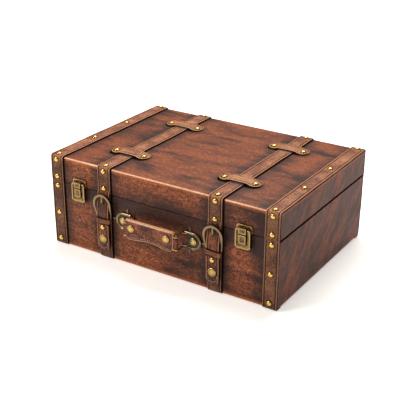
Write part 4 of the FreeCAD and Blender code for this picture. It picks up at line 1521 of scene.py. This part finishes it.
def make_loops():
    angles = circle(loop_stations)
    edges = abs(np.tile(np.cos(circle(loop_sides)), loop_stations))
    for _, name in SIDES:
        node = "tail_keeper_" + name
        low, high = span(node)
        middle = (low + high) / 2
        reach = (high - low) / 2 - loop_thickness / 2
        sideways = reach[0] * squared(np.cos(angles), loop_square)
        line = spread(middle[0] + sideways, middle[1] + reach[1] * squared(np.sin(angles), loop_square),
                      middle[2] - loop_tilt[name] * sideways)
        ways = np.roll(line, -1, axis=0) - np.roll(line, 1, axis=0)
        outs = unit(spread(ways[:, 1], -ways[:, 0], 0.0))
        loop = Pile()
        shape, rise = rod(line, reach[2], loop_thickness / 2, upward, outs, loop_sides, loop_edge_square,
                          closed=True)
        points, faces = shape
        before = np.repeat(line[:, 1] < middle[1], loop_sides)
        upper = np.clip((points[:, 2] - middle[2]) / reach[2], 0, 1)
        points[:, 1] -= loop_flare * before * upper ** 2
        far_end = np.repeat(sideways > far_share * reach[0], loop_sides)
        rubbed = np.maximum(1.0 * (edges > 0.7), 0.8 * far_end)
        # Painted shade darkens the loop's inner side; its edges and far end are worn.
        loop.add((points, faces), np.where(rise < -0.3, -1.0, rubbed))
        piece = loop.piece(node + "_leather", tail_leather, "strap_leather", rod_sharp)
        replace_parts(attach(piece, "tail_" + name), node)


make_loops()
print("keeper loops made")

# %% [markdown]
# Chapes, rivets and caps of the tails
#
# A thin leather fold behind the tail, the chape, holds the bar on both sides of the prong. It is made as two
# strips, because the prong needs the slot between them. Below the loop a small rivet and the press stud's cap
# are set in the tail.

# %% Chapes and tail heads
chape_thickness = 0.6
chape_run = 3
chape_radius = 0.9
chape_step = 3.0
chape_seed = 5
bar_play_in = 0.1
bar_play_out = 0.05
prong_slot = 2.2
rivet_dome = 2.6
cap_height = 1.6


def mirrored_across(x):
    """Like at_x, with the strip's outer side turned inwards to wrap a bar."""
    return lambda a, b, across: spread(x - across, a, b)


def make_chapes():
    near = front_face - (bar_proud - bar_radius - bar_play_in)
    far = front_face - (bar_proud + bar_radius + bar_play_out)
    for side, name in SIDES:
        node = "tail_chape_" + name
        low, high = span(node)
        fold = Pile()
        top = high[2] - chape_thickness
        path = bend([(near, bar_z - chape_run), (near, top), (far, top), (far, low[2])],
                    chape_radius, chape_step)
        half = (high[0] - low[0]) / 4
        for end in (-1, 1):
            place = mirrored_across(side * strap_x + end * (half + prong_slot / 2))
            strip(fold, path, 2 * half - prong_slot, chape_thickness, place, chape_seed + end)
        piece = fold.piece(node + "_leather", tail_leather, "strap_leather")
        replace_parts(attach(piece, "tail_" + name), node)


make_chapes()
for _, name in SIDES:
    make_heads("tail_rivet_head_" + name, "tail_rivet_" + name, "tail_" + name, stud_brass, "stud_brass",
               dome_profile, rivet_dome, shadow_ring=stud_shadow_ring)
    make_heads("snap_cap_head_" + name, "snap_cap_" + name, "tail_" + name, rivet_brass, "rivet_brass",
               cap_profile, cap_height, shadow_ring=stud_shadow_ring)
print("chapes and tail heads made")

# %% [markdown]
# Cast fittings
#
# Latches and hinges are small castings with crisp but not sharp edges, darkened and then buffed. The model
# already has their shape, so a copy of its mesh is cleaned to whole faces and every sharp edge is bevelled.
# Bevels and narrow raised rims get a high wear number, broad fields a low one, which is how buffing touches a
# real casting.

# %% Latches and hinges
cast_weld = 0.002
flat_turn = math.radians(2)
sharp_turn = math.radians(40)
narrow_rim = 0.75
bead_rim = 1.1
raised_field = 4.0
bevel_wear = 0.95
rim_wear = 0.8
raised_wear = 0.44
leaf_bevel = 0.2
lever_bevel = 0.5


def cast(node, body, material, bevel=0.32, field=0.05, narrow=narrow_rim):
    """Bevelled copy of a casting; field is the wear of its low fields, narrow the half width of a rim."""
    work = bmesh.new()
    work.from_mesh(nodes[node].data)
    bmesh.ops.remove_doubles(work, verts=work.verts, dist=cast_weld * mm)
    bmesh.ops.dissolve_limit(work, angle_limit=flat_turn, verts=work.verts, edges=work.edges)
    sharp = [e for e in work.edges if len(e.link_faces) == 2 and e.calc_face_angle() > sharp_turn]
    bevelled = bmesh.ops.bevel(work, geom=sharp, offset=bevel * mm, offset_type="OFFSET", segments=2,
                               profile=0.5, affect="EDGES", clamp_overlap=True)
    rounded = set(bevelled["faces"])
    wear = work.faces.layers.float.new("wear_and_shade")
    for face in work.faces:
        slim = face.calc_area() / (face.calc_perimeter() * mm) < narrow
        raised = abs(face.calc_center_median()[1]) / mm - half_depth > raised_field
        level = rim_wear if slim else raised_wear if raised else field
        face[wear] = bevel_wear if face in rounded else level
        face.smooth = face in rounded
    mesh = bpy.data.meshes.new(node + "_cast")
    work.to_mesh(mesh)
    work.free()
    mesh.materials.append(material)
    made = bpy.data.objects.new(node + "_cast", mesh)
    scene.collection.objects.link(made)
    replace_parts(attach(made, body), node)


cast("latch_catches", "lid", antique_bronze)
cast("latch_base_plates", "base", antique_bronze)
cast("hinge_base_leaves", "base", antique_bronze, leaf_bevel)
cast("hinge_lid_leaves", "lid", antique_bronze, leaf_bevel)
for _, name in SIDES:
    cast("latch_lever_" + name, "lever_" + name, antique_bronze,
         lever_bevel, raised_wear, bead_rim)
print("latches and hinges made")

# %% [markdown]
# Handle plates
#
# A D-shaped plate with two beads round its edge holds each end of the handle. Bevelling the model's flat
# plate would not give it beads. So the outline shrinks evenly as the rings step inwards, and each ring has
# its own rise, which makes real relief that catches the light. Three nail ears stand out from it.

# %% Handle plates
ear_thickness = 1.2
ear_radius = 2.6
ear_reach = 4.6
ear_inset = 7.0
ear_lap = 1
ear_neck = 1.6
ear_sides = 24
neck_sides = 12
arc_stations = 40
plate_sharp = 40
ear_wear = 0.55
neck_wear = 0.45
plate_low, plate_high = solids("handle_plates")[0]
plate_height = plate_high[2] - plate_low[2] - 2 * (ear_reach + ear_radius)
ear_profile = ((ear_radius, ear_thickness), (ear_radius, 0.4), (0.88 * ear_radius, 0.0), (point_share, 0.0))
bead_rows = ((0.0, 0.0, 0.1), (0.0, 3.3, 0.5), (0.25, 3.8, 0.9), (0.65, 4.0, 1.0), (1.05, 3.8, 0.9),
             (1.35, 3.2, 0.2), (1.6, 3.0, 0.0), (1.85, 3.2, 0.3), (2.1, 3.55, 0.9), (2.5, 3.65, 1.0),
             (2.9, 3.5, 0.8), (3.2, 3.0, 0.1), (3.7, 2.8, 0.0), (6.0, 2.75, 0.05))


def plate_ring(side, inner_x, outer_x, level, inset, proud):
    """One ring of a plate's outline: open and square at the inner end, round at the outer end."""
    radius = plate_height / 2 - inset
    centre = outer_x - plate_height / 2
    arc = [(centre + radius * math.sin(a), radius * math.cos(a))
           for a in np.linspace(0, math.pi, arc_stations)]
    start = inner_x + 0.05 * inset
    line = arc + [(start, -radius), (start, radius)]
    return np.array([(side * a, front_face - proud, level + b) for a, b in line])


def make_handle_plates():
    metal = Pile()
    for low, high in solids("handle_plates"):
        side = 1 if low[0] > 0 else -1
        near = min(abs(low[0]), abs(high[0]))
        far = max(abs(low[0]), abs(high[0]))
        level = (low[2] + high[2]) / 2
        rim = far - ear_reach - ear_radius
        rings = [plate_ring(side, near, rim, level, inset, proud) for inset, proud, _ in bead_rows]
        metal.add(loft(rings), np.repeat([row[2] for row in bead_rows], len(rings[0])))
        ear_x = side * (near + ear_inset)
        ears = [(ear_x, level + turn * (plate_height / 2 + ear_reach), ear_x,
                 level + turn * (plate_height / 2 - ear_lap)) for turn in (-1, 1)]
        ears.append((side * (rim + ear_reach), level, side * (rim - ear_lap), level))
        for x, z, root_x, root_z in ears:
            tip = np.array([x, front_face - ear_thickness, z])
            metal.add(turned(ear_profile, tip, outward, ear_sides), ear_wear)
            line = spread([x, root_x], front_face - ear_thickness / 2, [z, root_z])
            across = (0, 0, 1) if abs(root_x - x) > abs(root_z - z) else (1, 0, 0)
            metal.add(rod(line, ear_neck, ear_thickness / 2, across, outward, neck_sides, 0.5)[0], neck_wear)
    piece = metal.piece("handle_plates_metal", plate_bronze, "antique_bronze", plate_sharp)
    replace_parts(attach(piece, "base"), "handle_plates")


make_handle_plates()
print("handle plates made,", round(plate_height, 1), "high")

# %% [markdown]
# The outline of the grip
#
# The grip is leather folded over a round core and sewn to itself, so it is a roll on top and a flat flap
# below. The flap's edge hollows in the middle and is round at its corners, and the flap leans in towards the
# case.

# %% Grip outline
ring_low, ring_high = span("handle_ring_right")
ring_x = (ring_low[0] + ring_high[0]) / 2
ring_wire = (ring_high[0] - ring_low[0]) / 2
ring_front = front_face - ring_low[1] - ring_wire
grip_low, grip_high = span("handle_grip")
ring_gap = 3.5
grip_half = ring_x - ring_gap
grip_roll = 5.2
roll_z = grip_high[2] - grip_roll
flap_low = grip_low[2]
flap_hollow = 4.0
flap_corner = 7.0
flap_lean = 1.3


def flap_bottom(x):
    """Level of the flap's lower edge: hollow in the middle, round at the two corners."""
    share = min(abs(x) / (grip_half - flap_corner), 1)
    corner = max(abs(x) - (grip_half - flap_corner), 0) / flap_corner
    wave = flap_hollow * (0.5 + 0.5 * math.cos(math.pi * share))
    return flap_low + wave + flap_corner * (1 - math.sqrt(max(1 - corner ** 2, 0)))


def flap_front(z):
    """Stand-off of the flap's front at a level."""
    return ring_front + grip_roll - flap_lean * (roll_z - z) / (roll_z - flap_low)


print("grip from", round(flap_low, 1), "to", round(grip_high[2], 1))

# %% [markdown]
# Rings of the grip
#
# A ring goes round the roll, down the flap's front, round its edge and up its back, and it is pinched towards
# both ends. Cloth could be simulated round a core, but leather this stiff keeps the form it was pressed into,
# so small swells on the roll and a ripple on the flap are enough.

# %% Grip rings
roll_start = 205
roll_end = -15
roll_points = 19
# Painted highlight along the top of the roll, where the lamps' highlight falls.
roll_highlight = 0.8
pinch = 0.22
pinch_length = 4
flap_edge = 4.6
flap_points = 9
flap_ripple = 0.22
rim_start = 1.6
rim_rub = 3.0
rim_bow = 0.9
rim_angles = np.radians((20, 50, 90, 130, 160))
rear_points = 6
end_round = 3.3


def grip_ring(x, crease):
    """One ring of the grip, with the wear of each point."""
    fade = 1 - pinch * max(0, (abs(x) - grip_half + pinch_length) / pinch_length) ** 2
    drawn_in = (1 - fade) * pinch_length
    bottom = flap_bottom(x)
    rows = []
    for angle in np.radians(np.linspace(roll_start, roll_end, roll_points)):
        swell = grip_roll * fade * (1 + crease[0] * math.sin(1.3 * x + crease[1] + 3 * angle)
                                    + 0.6 * crease[0] * math.sin(3.1 * x + crease[2] - 2 * angle))
        # Painted highlight in the colour, peaking about 60 degrees up the roll; the same number makes the coat
        # glossier there.
        rubbed = roll_highlight * max(0.0, math.cos(angle - 1.1)) ** 4
        rows.append((ring_front + swell * math.cos(angle), roll_z + swell * math.sin(angle), rubbed))
    for z in np.linspace(roll_z - 0.4 * grip_roll, bottom + rim_start, flap_points):
        bulge = math.sin(math.pi * (z - bottom) / (roll_z - bottom))
        ripple = flap_ripple * math.sin(0.45 * x + 0.3 * z + crease[1]) * bulge
        rows.append((flap_front(z) - drawn_in + ripple, z, 0.9 * max(0, 1 - (z - bottom) / rim_rub)))
    thick = flap_edge * fade
    edge_front = flap_front(bottom) - drawn_in
    for angle in rim_angles:
        rows.append((edge_front - thick / 2 + thick / 2 * math.cos(angle),
                     bottom + rim_bow - rim_bow * math.sin(angle), 1.0))
    rear_top = ring_front + grip_roll * math.cos(math.radians(roll_start))
    for share in np.linspace(0.15, 0.85, rear_points):
        z = bottom + (roll_z - 0.42 * grip_roll - bottom) * share
        rows.append((edge_front - thick + (rear_top - edge_front + thick) * share, z, 0.0))
    rows = np.array(rows)
    past = max(abs(x) - grip_half + end_round, 0.0)
    room = grip_roll - end_round + math.sqrt(end_round ** 2 - past ** 2)
    rows[:, 0] = np.clip(rows[:, 0], ring_front - room, ring_front + room)
    return rows


print("ring of", len(grip_ring(0.0, (0.0, 0.0, 0.0))), "points")

# %% [markdown]
# Handle grip
#
# The rings stand closer together towards the two ends, where the roll rounds off. A pale seam follows the
# flap's edge.

# %% Handle grip
crease_depth = 0.02
grip_seed = 11
end_rub = 0.8
seam_inset = 4.0
grip_seam_points = 60
grip_stitch = {"pitch": 3.1, "length": 2.2, "radius": 0.3}


def make_grip():
    crease = np.random.default_rng(grip_seed).uniform(0, 6, 3)
    crease[0] = crease_depth
    rings = []
    wear = []
    for x in grip_half * np.sin(np.linspace(-0.5, 0.5, stations) * math.pi):
        rows = grip_ring(float(x), crease)
        rings.append(spread(x, front_face - rows[:, 0], rows[:, 1]))
        wear.append(np.maximum(rows[:, 2], 1.0 * (abs(x) > grip_half - end_rub)))
    body = Pile()
    body.add(loft(rings), np.concatenate(wear))
    grip = body.piece("handle_grip_leather", grip_leather, "handle_leather", rod_sharp)
    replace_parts(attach(grip, "handle"), "handle_grip")

    reach = grip_half - seam_inset
    spots = [(x, flap_bottom(x) + seam_inset) for x in np.linspace(-reach, reach, grip_seam_points)]
    line = np.array([(x, front_face - flap_front(z) - thread_seat, z) for x, z in spots])
    seams = Pile()
    sew(seams, line, outward, **grip_stitch)
    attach(seams.piece("handle_grip_seams", pale_thread, "handle_leather"), "handle")


make_grip()
print("grip made,", round(2 * grip_half, 1), "long")

# %% [markdown]
# Handle folds
#
# A leather eye at each end of the grip goes round the ring's front bar, and a chape goes from the ring's rear
# bar to the plate. Both are strips that come in, wrap the bar and go back, so one function makes them. Two
# rivets close the grip.

# %% Handle folds
ring_rear = front_face - ring_high[1] + ring_wire
handle_leather_thickness = 1.2
fold_play = 0.12
fold_round = 0.98
fold_step = 2.0
fold_trim = 5
fold_wander = 0.3
fold_seed = 3
eye_lap = 1.5
chape_lap = 7
plate_lift = 1.2


def bar_fold(pile, side, start, bar, proud, end_proud, flip):
    """Leather strip that comes from start, wraps a ring's upright bar and goes back."""
    inner = ring_wire + fold_play
    points, ways = bend([(start, proud - inner), (bar + inner, proud - inner), (bar + inner, proud + inner),
                         (start, end_proud)], inner * fold_round, fold_step)
    level = (ring_low[2] + ring_high[2]) / 2

    def place(a, b, across):
        return spread(side * flip * a, front_face - b, level + across)

    strip(pile, (points, -ways), ring_high[2] - ring_low[2] - fold_trim, handle_leather_thickness, place,
          fold_seed + side, fold_wander)


def make_handle_folds():
    eyes = Pile()
    chapes = Pile()
    for side, _ in SIDES:
        bar_fold(eyes, side, grip_half - eye_lap, ring_x, ring_front, ring_front + ring_wire, 1)
        bar_fold(chapes, side, -ring_x - chape_lap, -ring_x, ring_rear, plate_lift, -1)
    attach(eyes.piece("handle_eyes_leather", grip_leather, "handle_leather"), "handle")
    piece = chapes.piece("handle_chapes_leather", grip_leather, "handle_leather")
    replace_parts(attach(piece, "base"), "handle_chapes")


make_handle_folds()
make_heads("grip_rivet_heads", "grip_rivets", "handle", rivet_brass, "rivet_brass", cap_profile, rivet_height,
           shadow_ring=stud_shadow_ring)
print("handle folds and grip rivets made, rings at", round(ring_x, 1))

# %% [markdown]
# Plain panels
#
# What is left keeps the model's own mesh: rings, pins, the cloth lining inside, the cloth under the case and
# the boards that nobody sees. Each gets a finish of its own. Cloth is two crossed waves for the threads, and
# wood is noise drawn out along the grain.

# %% Cloth and wood
def cloth_finish(name, dark, light, threads):
    """Woven cloth; threads is the number of radians that the weave turns in a metre."""
    finish = Finish(name)
    x, y, z = finish.axes()
    weave = ((x + z) * threads).wave() * ((y + z * 0.5) * threads).wave() * 0.5 + 0.5
    slub = finish.noise(90.0, 4.0, 0.6)
    colour = finish.blend(weave * 0.5 + slub * 0.5, paint(dark), paint(light))
    return finish.show(Base_Color=colour, Roughness=0.85, Sheen_Weight=0.2,
                       Normal=finish.bump(weave, 0.12, 0.6))


def wood_finish(name, dark, light):
    """Plain board with its grain along x."""
    finish = Finish(name)
    grain = finish.noise(30.0, 5.0, 0.6, 0.4, finish.stretched((0.5, 6.0, 6.0)))
    colour = finish.blend(finish.between(grain, 0.35, 0.65), paint(dark), paint(light))
    return finish.show(Base_Color=colour, Roughness=0.6 + 0.1 * grain, Normal=finish.bump(grain, 0.1, 0.4))


lining_cloth = cloth_finish("lining_cloth", "3a2a22", "5c4434", 7000.0)
bottom_cloth = cloth_finish("bottom_cloth", "1d1a18", "35302b", 5200.0)
board_wood = wood_finish("board_wood", "9a7a52", "c7a878")
for node in nodes:
    if node.endswith(("_board", "_panel")):
        dress(node, board_wood)
    elif node.endswith("_lining"):
        dress(node, lining_cloth)
    elif node.startswith("handle_ring") or node in ("latch_pins", "hinge_pins", "snap_studs"):
        dress(node, ring_metal)
dress("bottom_sheet", bottom_cloth)
showing = [node for node in nodes if not nodes[node].hide_render]
print("model nodes still showing", len(showing))
